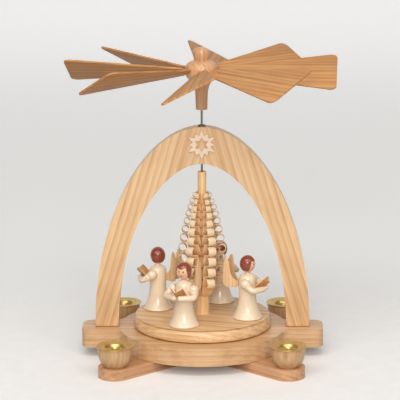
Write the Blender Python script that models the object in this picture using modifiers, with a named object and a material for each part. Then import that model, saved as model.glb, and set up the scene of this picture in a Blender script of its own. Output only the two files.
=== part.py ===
"""Christmas pyramid: angels round a shaved tree on a turntable, driven by a wing wheel.

Metres, +Z up, front towards -Y. The origin is on the shaft axis at table level.
"""
import math

import bmesh
import bpy
from mathutils import Matrix
from mathutils import Vector

MM = 0.001

# Clearances: glued seats, pegs in their holes, the running gap under the turntable.
SEAT_GAP = 0.3 * MM
PEG_GAP = 0.3 * MM
TABLE_RUN_GAP = 1.0 * MM
SHAFT_GAP = 0.35 * MM

# Crossed feet.
FOOT_THICKNESS = 10.0 * MM
FOOT_WIDTH = 31.0 * MM
FOOT_ANGLE = math.radians(43.5)
FOOT_EDGE = 1.0 * MM
CUP_CIRCLE_RADIUS = 108.5 * MM

# Base board: a round disc with a straight ear on each side for the arch.
BASE_THICKNESS = 17.0 * MM
BASE_RADIUS = 79.0 * MM
EAR_REACH = 113.7 * MM
EAR_HALF_DEPTH = 18.0 * MM
EAR_CORNER = 9.0 * MM
EAR_TAPER = 0.6 * MM
EAR_FILLET = 11.0 * MM
BASE_EDGE = 1.5 * MM

# Arch board.
ARCH_THICKNESS = 14.0 * MM
ARCH_OUTER_HALF = 101.0 * MM
ARCH_INNER_HALF = 79.0 * MM
ARCH_OUTER_RISE = 191.0 * MM
ARCH_INNER_RISE = 156.5 * MM
ARCH_OUTER_POWER = 1.90
ARCH_INNER_POWER = 1.85
ARCH_EDGE = 0.9 * MM
DOWEL_RADIUS = 3.0 * MM
DOWEL_HALF_LENGTH = 8.0 * MM

# Star on the front of the crown: six long points, six short ones and a star-shaped opening.
STAR_RADIUS = 14.0 * MM
STAR_SHORT_RADIUS = 11.4 * MM
STAR_HOLE_RADIUS = 7.0 * MM
STAR_THICKNESS = 2.0 * MM
STAR_Z = 202.6 * MM

# Shaft, its bearing cup in the base and its bush in the crown.
SHAFT_RADIUS = 1.0 * MM
SHAFT_TIP = 2.0 * MM
BEARING_RADIUS = 5.0 * MM
BEARING_HEIGHT = 6.0 * MM
BEARING_RECESS = 4.0 * MM
BUSH_RADIUS = 2.5 * MM
BUSH_LENGTH = 8.0 * MM
BUSH_FLANGE_RADIUS = 3.6 * MM
BUSH_FLANGE = 0.8 * MM

# Turntable: its rim runs on beyond the circle that the angels stand on.
TABLE_RIM = 19.3 * MM
TABLE_THICKNESS = 11.0 * MM
TABLE_TOP_INSET = 3.4 * MM

# Shaved tree: one stick with its curls still attached.
TREE_HEIGHT = 135.2 * MM
TRUNK_FOOT_RADIUS = 6.6 * MM
TRUNK_CORE_RADIUS = 5.2 * MM
TRUNK_TOP_RADIUS = 4.0 * MM
CURL_TIERS = 11
CURL_COLUMNS = 6
CURL_FIRST_ANGLE = math.radians(237.0)
CURL_TOP_HEIGHT = 114.0 * MM
CURL_TOP_PITCH = 5.8 * MM
CURL_LOW_PITCH = 10.6 * MM
CURL_TIER_GAP = 0.7 * MM
CURL_TOP_REACH = 8.9 * MM
CURL_MAX_REACH = 22.6 * MM
CURL_LOW_REACH = 20.0 * MM
CURL_THICKNESS = 0.7 * MM
CURL_TOP_WIDTH = 4.4 * MM
CURL_LOW_WIDTH = 8.3 * MM
CURL_STEPS = 8

# Wing wheel.
WHEEL_Z = 270.0 * MM
WHEEL_FIRST_ANGLE = math.radians(265.7)
BLADE_COUNT = 8
BLADE_PITCH = math.radians(27.0)
BLADE_TIP_RADIUS = 124.5 * MM
BLADE_HUB_GAP = 1.6 * MM
BLADE_TIP_WIDTH = 52.0 * MM
BLADE_ROOT_SHARE = 0.92
BLADE_THICKNESS = 1.7 * MM
BLADE_CORNER = 5.0 * MM
BLADE_PEG_RADIUS = 1.9 * MM
BLADE_PEG_INNER = 6.0 * MM
BLADE_PEG_OVERLAP = 6.5 * MM
HUB_TOP_ABOVE = 22.0 * MM
HUB_BOTTOM_BELOW = 35.8 * MM
HUB_RADIUS = 15.2 * MM
HUB_STEM_RADIUS = 5.4 * MM
HUB_KNOB_RADIUS = 7.5 * MM

# Candle cups and their brass sleeves.
CUP_HEIGHT = 18.0 * MM
CUP_RIM_RADIUS = 15.6 * MM
CUP_FOOT_RADIUS = 10.2 * MM
CUP_PEG_RADIUS = 4.0 * MM
CUP_PEG_LENGTH = 6.0 * MM
SLEEVE_WALL = 0.7 * MM
SLEEVE_BORE_RADIUS = 7.4 * MM
SLEEVE_BRIM_RADIUS = 17.2 * MM
SLEEVE_FLARE = 1.9 * MM
SLEEVE_FLARE_DEPTH = 3.4 * MM
SLEEVE_DEPTH = 13.0 * MM
SLEEVE_DISH = 1.6 * MM

# Angels.
ANGEL_COUNT = 4
ANGEL_TREE_GAP = 1.32 * MM
ANGEL_FIRST_ANGLE = math.radians(69.0)
BODY_HEIGHT = 43.8 * MM
BODY_RADIUS = 8.3 * MM
SKIRT_RADIUS = 14.0 * MM
NECK_RADIUS = 2.6 * MM
ANGEL_PEG_RADIUS = 2.0 * MM
ANGEL_PEG_LENGTH = 4.0 * MM
HEAD_RADIUS = 7.1 * MM
HEAD_STRETCH = 1.14
ARM_BALL_RADIUS = 4.7 * MM
ARM_HAND_RADIUS = 2.5 * MM
SHOULDER_HEIGHT = 34.5 * MM
SHOULDER_FORWARD = 1.5 * MM
SHOULDER_OUT = 10.2 * MM
BOOK_CLEAR = 0.4 * MM
BOOK_HEIGHT_UP = 30.6 * MM
BOOK_LENGTH = 15.0 * MM
BOOK_HALF_WIDTH = 6.4 * MM
BOOK_FOLD = 5.0 * MM
BOOK_THICKNESS = 1.4 * MM
BOOK_TILT = math.radians(47.0)
ELBOW_FORWARD = 10.0 * MM
ELBOW_OUT = 15.0 * MM
ELBOW_HEIGHT = 29.2 * MM
ELBOW_BEND = 5.0 * MM
HAND_CLEAR = 0.4 * MM
HANDS_GAP = 1.0 * MM
WING_HEIGHT_UP = 33.0 * MM
WING_SPREAD = math.radians(28.0)
WING_LENGTH = 14.3 * MM
WING_RISE = 25.0 * MM
WING_DROP = 4.2 * MM
WING_THICKNESS = 1.5 * MM
WING_APART = 1.5 * MM

# Levels that follow from the sizes above.
BASE_BOTTOM_Z = FOOT_THICKNESS + SEAT_GAP
BASE_TOP_Z = BASE_BOTTOM_Z + BASE_THICKNESS
TABLE_BOTTOM_Z = BASE_TOP_Z + TABLE_RUN_GAP
TABLE_TOP_Z = TABLE_BOTTOM_Z + TABLE_THICKNESS
ARCH_FOOT_Z = BASE_TOP_Z + SEAT_GAP
CROWN_TOP_Z = ARCH_FOOT_Z + ARCH_OUTER_RISE
LEG_CENTRE_X = 0.5 * (ARCH_OUTER_HALF + ARCH_INNER_HALF)
WING_BACK = BODY_RADIUS + SEAT_GAP + 0.5 * WING_THICKNESS * math.sin(WING_SPREAD)
WING_DEPTH = WING_BACK + WING_LENGTH * math.cos(WING_SPREAD)
ANGEL_CIRCLE_RADIUS = CURL_MAX_REACH + ANGEL_TREE_GAP + WING_DEPTH
TABLE_RADIUS = ANGEL_CIRCLE_RADIUS + TABLE_RIM
BLADE_ROOT_RADIUS = HUB_RADIUS + BLADE_HUB_GAP
BLADE_ROOT_HALF = BLADE_ROOT_SHARE * BLADE_ROOT_RADIUS * math.tan(math.pi / BLADE_COUNT)
BEARING_TOP_Z = BASE_TOP_Z - SEAT_GAP
SHAFT_BOTTOM_Z = BEARING_TOP_Z - BEARING_RECESS + SEAT_GAP
TREE_FOOT_Z = TABLE_TOP_Z + SEAT_GAP
ANGEL_FOOT_Z = TABLE_TOP_Z + SEAT_GAP
CUP_FOOT_Z = FOOT_THICKNESS + SEAT_GAP
HUB_TOP_Z = WHEEL_Z + HUB_TOP_ABOVE
HUB_BOTTOM_Z = WHEEL_Z - HUB_BOTTOM_BELOW
SHAFT_TOP_Z = WHEEL_Z + 5.0 * MM


def start():
    """Empty the scene and make the two collections."""
    for old in list(bpy.data.objects):
        bpy.data.objects.remove(old, do_unlink=True)
    scene = bpy.context.scene
    parts = bpy.data.collections.new("christmas_pyramid")
    cutters = bpy.data.collections.new("cutters")
    scene.collection.children.link(parts)
    scene.collection.children.link(cutters)
    cutters.hide_render = True
    return parts, cutters


PARTS, CUTTERS = start()


def material(name, colour, roughness, metallic=0.0):
    """A plain Principled material."""
    made = bpy.data.materials.new(name)
    made.use_nodes = True
    shader = made.node_tree.nodes["Principled BSDF"]
    shader.inputs["Base Color"].default_value = (*colour, 1.0)
    shader.inputs["Roughness"].default_value = roughness
    shader.inputs["Metallic"].default_value = metallic
    made.diffuse_color = (*colour, 1.0)
    return made


ASH = material("ash_wood", (0.72, 0.46, 0.24), 0.45)
BEECH = material("beech_wood", (0.70, 0.42, 0.22), 0.45)
PALE_WOOD = material("pale_wood", (0.88, 0.76, 0.58), 0.4)
LIME_WOOD = material("lime_wood", (0.86, 0.70, 0.48), 0.5)
SKIN = material("painted_head", (0.80, 0.45, 0.30), 0.35)
PAPER = material("painted_book", (0.90, 0.78, 0.50), 0.5)
BRASS = material("brass", (0.80, 0.58, 0.22), 0.25, 1.0)
STEEL = material("steel", (0.35, 0.34, 0.33), 0.3, 1.0)
GLASS = material("bearing_glass", (0.75, 0.80, 0.80), 0.1)


def place(name, mesh, surface, spot=None):
    """Put a mesh into the part under a name, with a material and a place."""
    made = bpy.data.objects.new(name, mesh)
    if not mesh.materials:
        mesh.materials.append(surface)
    PARTS.objects.link(made)
    if spot is not None:
        made.matrix_world = spot
    return made


def cutter(name, mesh, spot=None):
    """Put a mesh among the cutters."""
    made = bpy.data.objects.new(name, mesh)
    CUTTERS.objects.link(made)
    made.hide_render = True
    made.display_type = "WIRE"
    if spot is not None:
        made.matrix_world = spot
    return made


def cut(target, tool, how="DIFFERENCE"):
    """Boolean one object with another."""
    step = target.modifiers.new(tool.name, "BOOLEAN")
    step.operation = how
    step.solver = "EXACT"
    step.object = tool


def baked(made):
    """The finished mesh of an object, with its normals turned outward."""
    bpy.context.view_layer.update()
    graph = bpy.context.evaluated_depsgraph_get()
    mesh = bpy.data.meshes.new_from_object(made.evaluated_get(graph))
    bm = bmesh.new()
    bm.from_mesh(mesh)
    bmesh.ops.remove_doubles(bm, verts=bm.verts, dist=0.000002)
    bmesh.ops.recalc_face_normals(bm, faces=bm.faces)
    bm.to_mesh(mesh)
    bm.free()
    mesh.name = made.name
    return mesh


def bake_away(made):
    """The finished mesh of a helper object, which is then removed."""
    mesh = baked(made)
    bpy.data.objects.remove(made, do_unlink=True)
    return mesh


def turned(name, profile, steps, closed=False):
    """A lathe-turned mesh from a profile of (radius, height) pairs, outer side running down."""
    count = len(profile)
    edges = [(i, i + 1) for i in range(count - 1)]
    if closed:
        edges.append((count - 1, 0))
    mesh = bpy.data.meshes.new(name + "_profile")
    mesh.from_pydata([(r, 0.0, z) for r, z in profile], edges, [])
    helper = bpy.data.objects.new(name, mesh)
    PARTS.objects.link(helper)
    screw = helper.modifiers.new("turn", "SCREW")
    screw.axis = "Z"
    screw.angle = 2.0 * math.pi
    screw.steps = steps
    screw.render_steps = steps
    screw.use_merge_vertices = True
    screw.merge_threshold = 0.000005
    screw.use_smooth_shade = False
    return bake_away(helper)


def rod(name, radius, low, high, steps):
    """A plain round bar along Z."""
    return turned(name, [(0.0, high), (radius, high), (radius, low), (0.0, low)], steps)


def plate(name, loops, thickness, edge=0.0, edge_steps=0):
    """A flat board from closed outlines in XY, centred on Z = 0, with eased edges."""
    curve = bpy.data.curves.new(name, "CURVE")
    curve.dimensions = "2D"
    curve.fill_mode = "BOTH"
    curve.extrude = 0.5 * thickness - edge
    curve.bevel_depth = edge
    curve.bevel_resolution = edge_steps
    curve.offset = -edge
    for loop in loops:
        spline = curve.splines.new("POLY")
        spline.points.add(len(loop) - 1)
        for point, (x, y) in zip(spline.points, loop):
            point.co = (x, y, 0.0, 1.0)
        spline.use_cyclic_u = True
    helper = bpy.data.objects.new(name, curve)
    PARTS.objects.link(helper)
    mesh = bake_away(helper)
    bm = bmesh.new()
    bm.from_mesh(mesh)
    bmesh.ops.dissolve_limit(bm, angle_limit=math.radians(0.3), verts=bm.verts, edges=bm.edges)
    bm.to_mesh(mesh)
    bm.free()
    return mesh


def arc(x, y, radius, first, last, count):
    """Points along an arc, angles in degrees."""
    points = []
    for i in range(count + 1):
        angle = math.radians(first + (last - first) * i / count)
        points.append((x + radius * math.cos(angle), y + radius * math.sin(angle)))
    return points


def moved(mesh, matrix):
    """Move the points of a mesh."""
    mesh.transform(matrix)
    return mesh


def joined(name, meshes):
    """Several meshes as one."""
    bm = bmesh.new()
    for mesh in meshes:
        bm.from_mesh(mesh)
    whole = bpy.data.meshes.new(name)
    bm.to_mesh(whole)
    bm.free()
    return whole


def shift(x, y, z):
    """A plain move."""
    return Matrix.Translation((x, y, z))


def axes(origin, x_axis, y_axis, z_axis):
    """A frame from its origin and its three axes."""
    turn = Matrix((x_axis, y_axis, z_axis)).transposed()
    return Matrix.Translation(origin) @ turn.to_4x4()


def cup_spot(index):
    """Where one candle cup stands: front left, front right, rear right, rear left."""
    side = (-1.0, 1.0, 1.0, -1.0)[index]
    depth = (-1.0, -1.0, 1.0, 1.0)[index]
    x = side * CUP_CIRCLE_RADIUS * math.cos(FOOT_ANGLE)
    y = depth * CUP_CIRCLE_RADIUS * math.sin(FOOT_ANGLE)
    return x, y


def build_feet():
    """Two crossed boards halved into each other, each bored for two cups."""
    half = 0.5 * FOOT_WIDTH
    outline = arc(CUP_CIRCLE_RADIUS, 0.0, half, -90.0, 90.0, 10)
    outline += arc(-CUP_CIRCLE_RADIUS, 0.0, half, 90.0, 270.0, 10)
    notch_half = half + PEG_GAP
    notch_length = FOOT_WIDTH * 2.0
    notch = [
        (-notch_length, -notch_half),
        (notch_length, -notch_half),
        (notch_length, notch_half),
        (-notch_length, notch_half),
    ]
    for number, sign in ((1, 1.0), (2, -1.0)):
        turn = Matrix.Rotation(sign * FOOT_ANGLE, 4, "Z")
        board = plate("foot_board", [outline], FOOT_THICKNESS, FOOT_EDGE)
        moved(board, turn @ shift(0.0, 0.0, 0.5 * FOOT_THICKNESS))
        foot = place("foot_beam_%d" % number, board, BEECH)
        lap = plate("lap_%d" % number, [notch], FOOT_THICKNESS)
        lift = sign * (0.5 * FOOT_THICKNESS - 0.5 * SEAT_GAP)
        other = Matrix.Rotation(-sign * FOOT_ANGLE, 4, "Z")
        moved(lap, other @ shift(0.0, 0.0, 0.5 * FOOT_THICKNESS + lift))
        cut(foot, cutter("lap_cut_%d" % number, lap))
        bores = []
        for index in range(4):
            x, y = cup_spot(index)
            if x * y * sign > 0.0:
                low = FOOT_THICKNESS - CUP_PEG_LENGTH
                bore = rod("bore", CUP_PEG_RADIUS + PEG_GAP, low, FOOT_THICKNESS * 1.5, 16)
                bores.append(moved(bore, shift(x, y, 0.0)))
        cut(foot, cutter("cup_bores_%d" % number, joined("bores", bores)))


def base_outline():
    """The round board with its two ears, anticlockwise."""
    reach = EAR_REACH - EAR_CORNER
    half = EAR_HALF_DEPTH
    low = half - EAR_TAPER - EAR_CORNER
    out = EAR_FILLET
    fillet_y = half + out
    fillet_x = math.sqrt((BASE_RADIUS + out) ** 2 - fillet_y ** 2)
    lean = math.degrees(math.atan2(fillet_y, fillet_x))
    points = arc(reach, -low, EAR_CORNER, -90.0, 0.0, 4)
    points += arc(reach, low, EAR_CORNER, 0.0, 90.0, 4)
    points += arc(fillet_x, fillet_y, out, 270.0, 180.0 + lean, 4)
    points += arc(0.0, 0.0, BASE_RADIUS, lean, 180.0 - lean, 20)[1:-1]
    points += arc(-fillet_x, fillet_y, out, 360.0 - lean, 270.0, 4)
    points += arc(-reach, low, EAR_CORNER, 90.0, 180.0, 4)
    points += arc(-reach, -low, EAR_CORNER, 180.0, 270.0, 4)
    points += arc(-fillet_x, -fillet_y, out, 90.0, lean, 4)
    points += arc(0.0, 0.0, BASE_RADIUS, 180.0 + lean, 360.0 - lean, 20)[1:-1]
    points += arc(fillet_x, -fillet_y, out, 180.0 - lean, 90.0, 4)
    return points


def build_base():
    """The base board, its bearing cup and the dowels that hold the arch."""
    board = plate("base_board", [base_outline()], BASE_THICKNESS, BASE_EDGE)
    moved(board, shift(0.0, 0.0, BASE_BOTTOM_Z + 0.5 * BASE_THICKNESS))
    base = place("base_plate", board, ASH)
    high = BASE_TOP_Z + BASE_THICKNESS
    low = BEARING_TOP_Z - BEARING_HEIGHT - SEAT_GAP
    bores = [rod("bearing_bore", BEARING_RADIUS + PEG_GAP, low, high, 16)]
    low = ARCH_FOOT_Z - DOWEL_HALF_LENGTH - SEAT_GAP
    for side in (-1.0, 1.0):
        bore = rod("dowel_bore", DOWEL_RADIUS + PEG_GAP, low, high, 12)
        bores.append(moved(bore, shift(side * LEG_CENTRE_X, 0.0, 0.0)))
    cut(base, cutter("base_bores", joined("base_bores", bores)))
    top = BEARING_TOP_Z
    floor = top - BEARING_RECESS
    profile = [
        (0.0, floor),
        (0.16 * BEARING_RADIUS, floor),
        (0.55 * BEARING_RADIUS, top),
        (BEARING_RADIUS, top),
        (BEARING_RADIUS, top - BEARING_HEIGHT),
        (0.0, top - BEARING_HEIGHT),
    ]
    place("bearing_cup", turned("bearing_cup", profile, 16), GLASS)
    for name, side in (("left", -1.0), ("right", 1.0)):
        low = ARCH_FOOT_Z - DOWEL_HALF_LENGTH
        pin = rod("arch_dowel", DOWEL_RADIUS, low, ARCH_FOOT_Z + DOWEL_HALF_LENGTH, 12)
        place("arch_dowel_" + name, moved(pin, shift(side * LEG_CENTRE_X, 0.0, 0.0)), BEECH)


def arch_curve(half, rise, power, count):
    """Points of one arch line from the right foot over the crown to the left foot."""
    points = []
    for i in range(count + 1):
        angle = math.pi * i / count
        across = math.cos(angle)
        x = math.copysign(half * abs(across) ** (2.0 / power), across)
        points.append((x, rise * math.sin(angle)))
    return points


def build_arch():
    """The arch board, bored for its dowels and for the shaft."""
    outline = arch_curve(ARCH_OUTER_HALF, ARCH_OUTER_RISE, ARCH_OUTER_POWER, 28)
    outline += reversed(arch_curve(ARCH_INNER_HALF, ARCH_INNER_RISE, ARCH_INNER_POWER, 24))
    board = plate("arch_board", [outline], ARCH_THICKNESS, ARCH_EDGE)
    stand = Matrix.Rotation(math.radians(90.0), 4, "X")
    moved(board, shift(0.0, 0.0, ARCH_FOOT_Z) @ stand)
    arch = place("arch", board, ASH)
    bores = []
    for side in (-1.0, 1.0):
        low = ARCH_FOOT_Z - DOWEL_HALF_LENGTH
        high = ARCH_FOOT_Z + DOWEL_HALF_LENGTH + SEAT_GAP
        bore = rod("leg_bore", DOWEL_RADIUS + PEG_GAP, low, high, 12)
        bores.append(moved(bore, shift(side * LEG_CENTRE_X, 0.0, 0.0)))
    shoulder = CROWN_TOP_Z - BUSH_LENGTH - SEAT_GAP
    top = CROWN_TOP_Z + BUSH_LENGTH
    low = ARCH_FOOT_Z + ARCH_INNER_RISE - BUSH_LENGTH
    narrow = SHAFT_RADIUS + 2.0 * SHAFT_GAP
    profile = [
        (0.0, top),
        (BUSH_RADIUS + PEG_GAP, top),
        (BUSH_RADIUS + PEG_GAP, shoulder),
        (narrow, shoulder),
        (narrow, low),
        (0.0, low),
    ]
    bores.append(turned("crown_bore", profile, 16))
    cut(arch, cutter("arch_bores", joined("arch_bores", bores)))
    flange = CROWN_TOP_Z + SEAT_GAP
    inner = SHAFT_RADIUS + SHAFT_GAP
    profile = [
        (inner, flange + BUSH_FLANGE),
        (BUSH_FLANGE_RADIUS, flange + BUSH_FLANGE),
        (BUSH_FLANGE_RADIUS, flange),
        (BUSH_RADIUS, flange),
        (BUSH_RADIUS, CROWN_TOP_Z - BUSH_LENGTH),
        (inner, CROWN_TOP_Z - BUSH_LENGTH),
    ]
    place("crown_bush", turned("crown_bush", profile, 16, True), BRASS)


def star_line(reaches):
    """A closed star outline, one point up, from the distances that repeat round it six times."""
    points = []
    count = 6 * len(reaches)
    for i in range(count):
        reach = reaches[i % len(reaches)]
        angle = 0.5 * math.pi + 2.0 * math.pi * i / count
        points.append((reach * math.cos(angle), reach * math.sin(angle)))
    return points


def build_star():
    """The flat star glued to the front of the crown."""
    valley = 0.74 * STAR_SHORT_RADIUS
    outer = star_line((STAR_RADIUS, valley, STAR_SHORT_RADIUS, valley))
    hole = star_line((STAR_HOLE_RADIUS, STAR_HOLE_RADIUS / math.sqrt(3.0)))
    star = plate("star", [outer, hole], STAR_THICKNESS)
    front = -(0.5 * ARCH_THICKNESS + SEAT_GAP + 0.5 * STAR_THICKNESS)
    stand = Matrix.Rotation(math.radians(90.0), 4, "X")
    place("star_ornament", moved(star, shift(0.0, front, STAR_Z) @ stand), PALE_WOOD)


def build_cups():
    """Four turned cups, each with a dished brass sleeve for a candle."""
    rim = CUP_HEIGHT
    bore = SLEEVE_BORE_RADIUS + SLEEVE_WALL + PEG_GAP
    dish = rim - SLEEVE_DISH
    floor = dish - SLEEVE_DEPTH
    mouth = bore + SLEEVE_FLARE
    throat = dish - SLEEVE_FLARE_DEPTH
    wide = CUP_RIM_RADIUS
    narrow = CUP_FOOT_RADIUS
    profile = [
        (0.0, floor),
        (bore, floor),
        (bore, throat),
        (mouth, dish),
        (wide - 0.8 * MM, rim),
        (wide, rim - 0.4 * MM),
        (wide, 0.76 * rim),
        (narrow + 0.86 * (wide - narrow), 0.46 * rim),
        (narrow + 0.45 * (wide - narrow), 0.18 * rim),
        (narrow, 0.0),
        (CUP_PEG_RADIUS, 0.0),
        (CUP_PEG_RADIUS, -CUP_PEG_LENGTH + SEAT_GAP),
        (0.0, -CUP_PEG_LENGTH + SEAT_GAP),
    ]
    inside = SLEEVE_BORE_RADIUS
    wall = SLEEVE_WALL
    lift = SEAT_GAP
    sleeve = [
        (0.0, floor + lift + wall),
        (inside, floor + lift + wall),
        (inside, throat + lift),
        (inside + SLEEVE_FLARE, dish + lift + 1.6 * wall),
        (mouth + 0.3 * MM, dish + lift + 1.5 * wall),
        (SLEEVE_BRIM_RADIUS - 0.9 * MM, rim + lift + wall),
        (SLEEVE_BRIM_RADIUS, rim + lift + wall),
        (SLEEVE_BRIM_RADIUS, rim + lift),
        (wide - 0.9 * MM, rim + lift),
        (mouth - PEG_GAP, dish + lift),
        (inside + wall, throat + lift),
        (inside + wall, floor + lift),
        (0.0, floor + lift),
    ]
    for index in range(4):
        x, y = cup_spot(index)
        spot = shift(x, y, CUP_FOOT_Z)
        cup = turned("candle_cup", profile, 14)
        place("candle_cup_%d" % (index + 1), cup, PALE_WOOD, spot)
        brass = turned("candle_sleeve", sleeve, 14)
        place("candle_sleeve_%d" % (index + 1), brass, BRASS, spot)


def build_shaft():
    """The steel shaft, pointed below, from the bearing cup up into the hub."""
    profile = [
        (0.0, SHAFT_TOP_Z),
        (SHAFT_RADIUS, SHAFT_TOP_Z),
        (SHAFT_RADIUS, SHAFT_BOTTOM_Z + SHAFT_TIP),
        (0.2 * SHAFT_RADIUS, SHAFT_BOTTOM_Z),
        (0.0, SHAFT_BOTTOM_Z),
    ]
    place("shaft", turned("shaft", profile, 12), STEEL)


def angel_angle(index):
    """The direction from the shaft to one angel."""
    return ANGEL_FIRST_ANGLE + 2.0 * math.pi * index / ANGEL_COUNT


def build_turntable():
    """The round turntable, bored for the shaft and for the angels' pegs."""
    bore = SHAFT_RADIUS + SHAFT_GAP
    top = TABLE_TOP_Z
    low = TABLE_BOTTOM_Z
    tall = TABLE_THICKNESS
    profile = [
        (bore, top),
        (TABLE_RADIUS - TABLE_TOP_INSET, top),
        (TABLE_RADIUS - 0.42 * TABLE_TOP_INSET, top - 0.12 * tall),
        (TABLE_RADIUS - 0.08 * TABLE_TOP_INSET, top - 0.42 * tall),
        (TABLE_RADIUS, low + 0.18 * tall),
        (TABLE_RADIUS - 0.3 * TABLE_TOP_INSET, low),
        (bore, low),
    ]
    table = place("turntable", turned("turntable", profile, 40, True), ASH)
    bores = []
    for index in range(ANGEL_COUNT):
        angle = angel_angle(index)
        hole = rod("angel_bore", ANGEL_PEG_RADIUS + PEG_GAP, top - ANGEL_PEG_LENGTH, top + 0.5 * tall, 10)
        x = ANGEL_CIRCLE_RADIUS * math.cos(angle)
        y = ANGEL_CIRCLE_RADIUS * math.sin(angle)
        bores.append(moved(hole, shift(x, y, 0.0)))
    cut(table, cutter("angel_bores", joined("angel_bores", bores)))


def smooth(value):
    """Ease from 0 to 1."""
    value = min(1.0, max(0.0, value))
    return value * value * (3.0 - 2.0 * value)


def curl_tier(index):
    """Height, ring radius, reach and strip width of one tier of curls, counted from the top."""
    last = CURL_TIERS - 1
    pitch = CURL_TOP_PITCH
    height = CURL_TOP_HEIGHT
    for step in range(index + 1):
        pitch = CURL_TOP_PITCH + (CURL_LOW_PITCH - CURL_TOP_PITCH) * smooth(step / (last - 1.0))
        if step < index:
            height -= pitch
    part = index / last
    if part < 0.7:
        reach = CURL_TOP_REACH + (CURL_MAX_REACH - CURL_TOP_REACH) * (part / 0.7) ** 0.85
    else:
        reach = CURL_MAX_REACH + (CURL_LOW_REACH - CURL_MAX_REACH) * ((part - 0.7) / 0.3) ** 2
    ring = 0.5 * (pitch - CURL_TIER_GAP) - 0.5 * CURL_THICKNESS
    if index > 0:
        before = CURL_TOP_PITCH + (CURL_LOW_PITCH - CURL_TOP_PITCH) * smooth((index - 1) / (last - 1.0))
        ring = min(ring, 0.5 * (before - CURL_TIER_GAP))
    width = CURL_TOP_WIDTH + (CURL_LOW_WIDTH - CURL_TOP_WIDTH) * smooth(part / 0.7)
    return height, ring, reach - 0.5 * CURL_THICKNESS, width


def trunk_radius(height):
    """Radius of the trunk at a height above its foot."""
    low = curl_tier(CURL_TIERS - 1)[0] - 8.0 * MM
    if height < low:
        return TRUNK_FOOT_RADIUS
    part = (height - low) / (TREE_HEIGHT - low)
    return TRUNK_CORE_RADIUS + (TRUNK_TOP_RADIUS - TRUNK_CORE_RADIUS) * min(1.0, 1.15 * part)


def curl_path(index):
    """Middle line of one curl as (distance from the axis, height), from the trunk outward."""
    height, ring, reach, width = curl_tier(index)
    middle = reach - ring
    points = []
    for step in range(CURL_STEPS):
        angle = math.radians(232.0 + 238.0 * step / (CURL_STEPS - 1))
        points.append((middle + ring * math.cos(angle), height + ring * math.sin(angle)))
    return points


def build_tree():
    """One stick bored for the shaft, its shavings curled out of it in tiers."""
    sides = 2 * CURL_COLUMNS
    bore = SHAFT_RADIUS + SHAFT_GAP
    levels = [0.0]
    bands = {}
    for index in reversed(range(CURL_TIERS)):
        height, ring, reach, width = curl_tier(index)
        root = height - 0.30 * ring
        bands[len(levels)] = index
        levels.append(root - 0.5 * CURL_THICKNESS)
        levels.append(root + 0.5 * CURL_THICKNESS)
    levels.append(TREE_HEIGHT)
    bm = bmesh.new()
    column_half = math.pi / CURL_COLUMNS * 0.62
    outer = []
    inner = []
    for level in levels:
        ring_points = []
        bore_points = []
        for side in range(sides):
            centre = CURL_FIRST_ANGLE + 2.0 * math.pi * (side // 2) / CURL_COLUMNS
            angle = centre + (column_half if side % 2 else -column_half)
            radius = trunk_radius(level)
            spot = (radius * math.cos(angle), radius * math.sin(angle), level)
            ring_points.append(bm.verts.new(spot))
            if level in (levels[0], levels[-1]):
                bore_spot = (bore * math.cos(angle), bore * math.sin(angle), level)
                bore_points.append(bm.verts.new(bore_spot))
        outer.append(ring_points)
        if bore_points:
            inner.append(bore_points)
    roots = []
    for row in range(len(levels) - 1):
        for side in range(sides):
            after = (side + 1) % sides
            corners = (outer[row][side], outer[row][after], outer[row + 1][after], outer[row + 1][side])
            face = bm.faces.new(corners)
            if row in bands and side % 2 == 0:
                roots.append((face, corners, bands[row], side // 2))
    for side in range(sides):
        after = (side + 1) % sides
        bm.faces.new((inner[0][after], inner[0][side], inner[1][side], inner[1][after]))
        bm.faces.new((outer[0][after], outer[0][side], inner[0][side], inner[0][after]))
        bm.faces.new((outer[-1][side], outer[-1][after], inner[1][after], inner[1][side]))
    for face, corners, index, column in roots:
        grow_curl(bm, face, corners, index, column)
    mesh = bpy.data.meshes.new("tree")
    bmesh.ops.recalc_face_normals(bm, faces=bm.faces)
    bm.to_mesh(mesh)
    bm.free()
    moved(mesh, shift(0.0, 0.0, TREE_FOOT_Z))
    place("tree", mesh, LIME_WOOD)


def grow_curl(bm, face, corners, index, column):
    """Draw one shaving out of a trunk face along its curl."""
    width = curl_tier(index)[3]
    path = curl_path(index)
    angle = CURL_FIRST_ANGLE + 2.0 * math.pi * column / CURL_COLUMNS
    outward = Vector((math.cos(angle), math.sin(angle), 0.0))
    across = Vector((-math.sin(angle), math.cos(angle), 0.0))
    upward = Vector((0.0, 0.0, 1.0))
    room = 0.84 * math.tan(math.pi / CURL_COLUMNS)
    ends = list(corners)
    for step, (far, height) in enumerate(path):
        back = path[max(0, step - 1)]
        ahead = path[min(len(path) - 1, step + 1)]
        run = Vector((ahead[0] - back[0], ahead[1] - back[1])).normalized()
        lift = 0.5 * CURL_THICKNESS
        half = min(0.5 * width, far * room)
        made = bmesh.ops.extrude_discrete_faces(bm, faces=[face])
        face = made["faces"][0]
        found = list(face.verts)
        fresh = []
        for corner in ends:
            fresh.append(min(found, key=lambda vert: (vert.co - corner.co).length))
        signs = ((-1.0, -1.0), (1.0, -1.0), (1.0, 1.0), (-1.0, 1.0))
        for vert, (side, top) in zip(fresh, signs):
            distance = far - run.y * lift * top
            level = height + run.x * lift * top
            vert.co = outward * distance + across * (side * half) + upward * level
        ends = fresh


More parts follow.
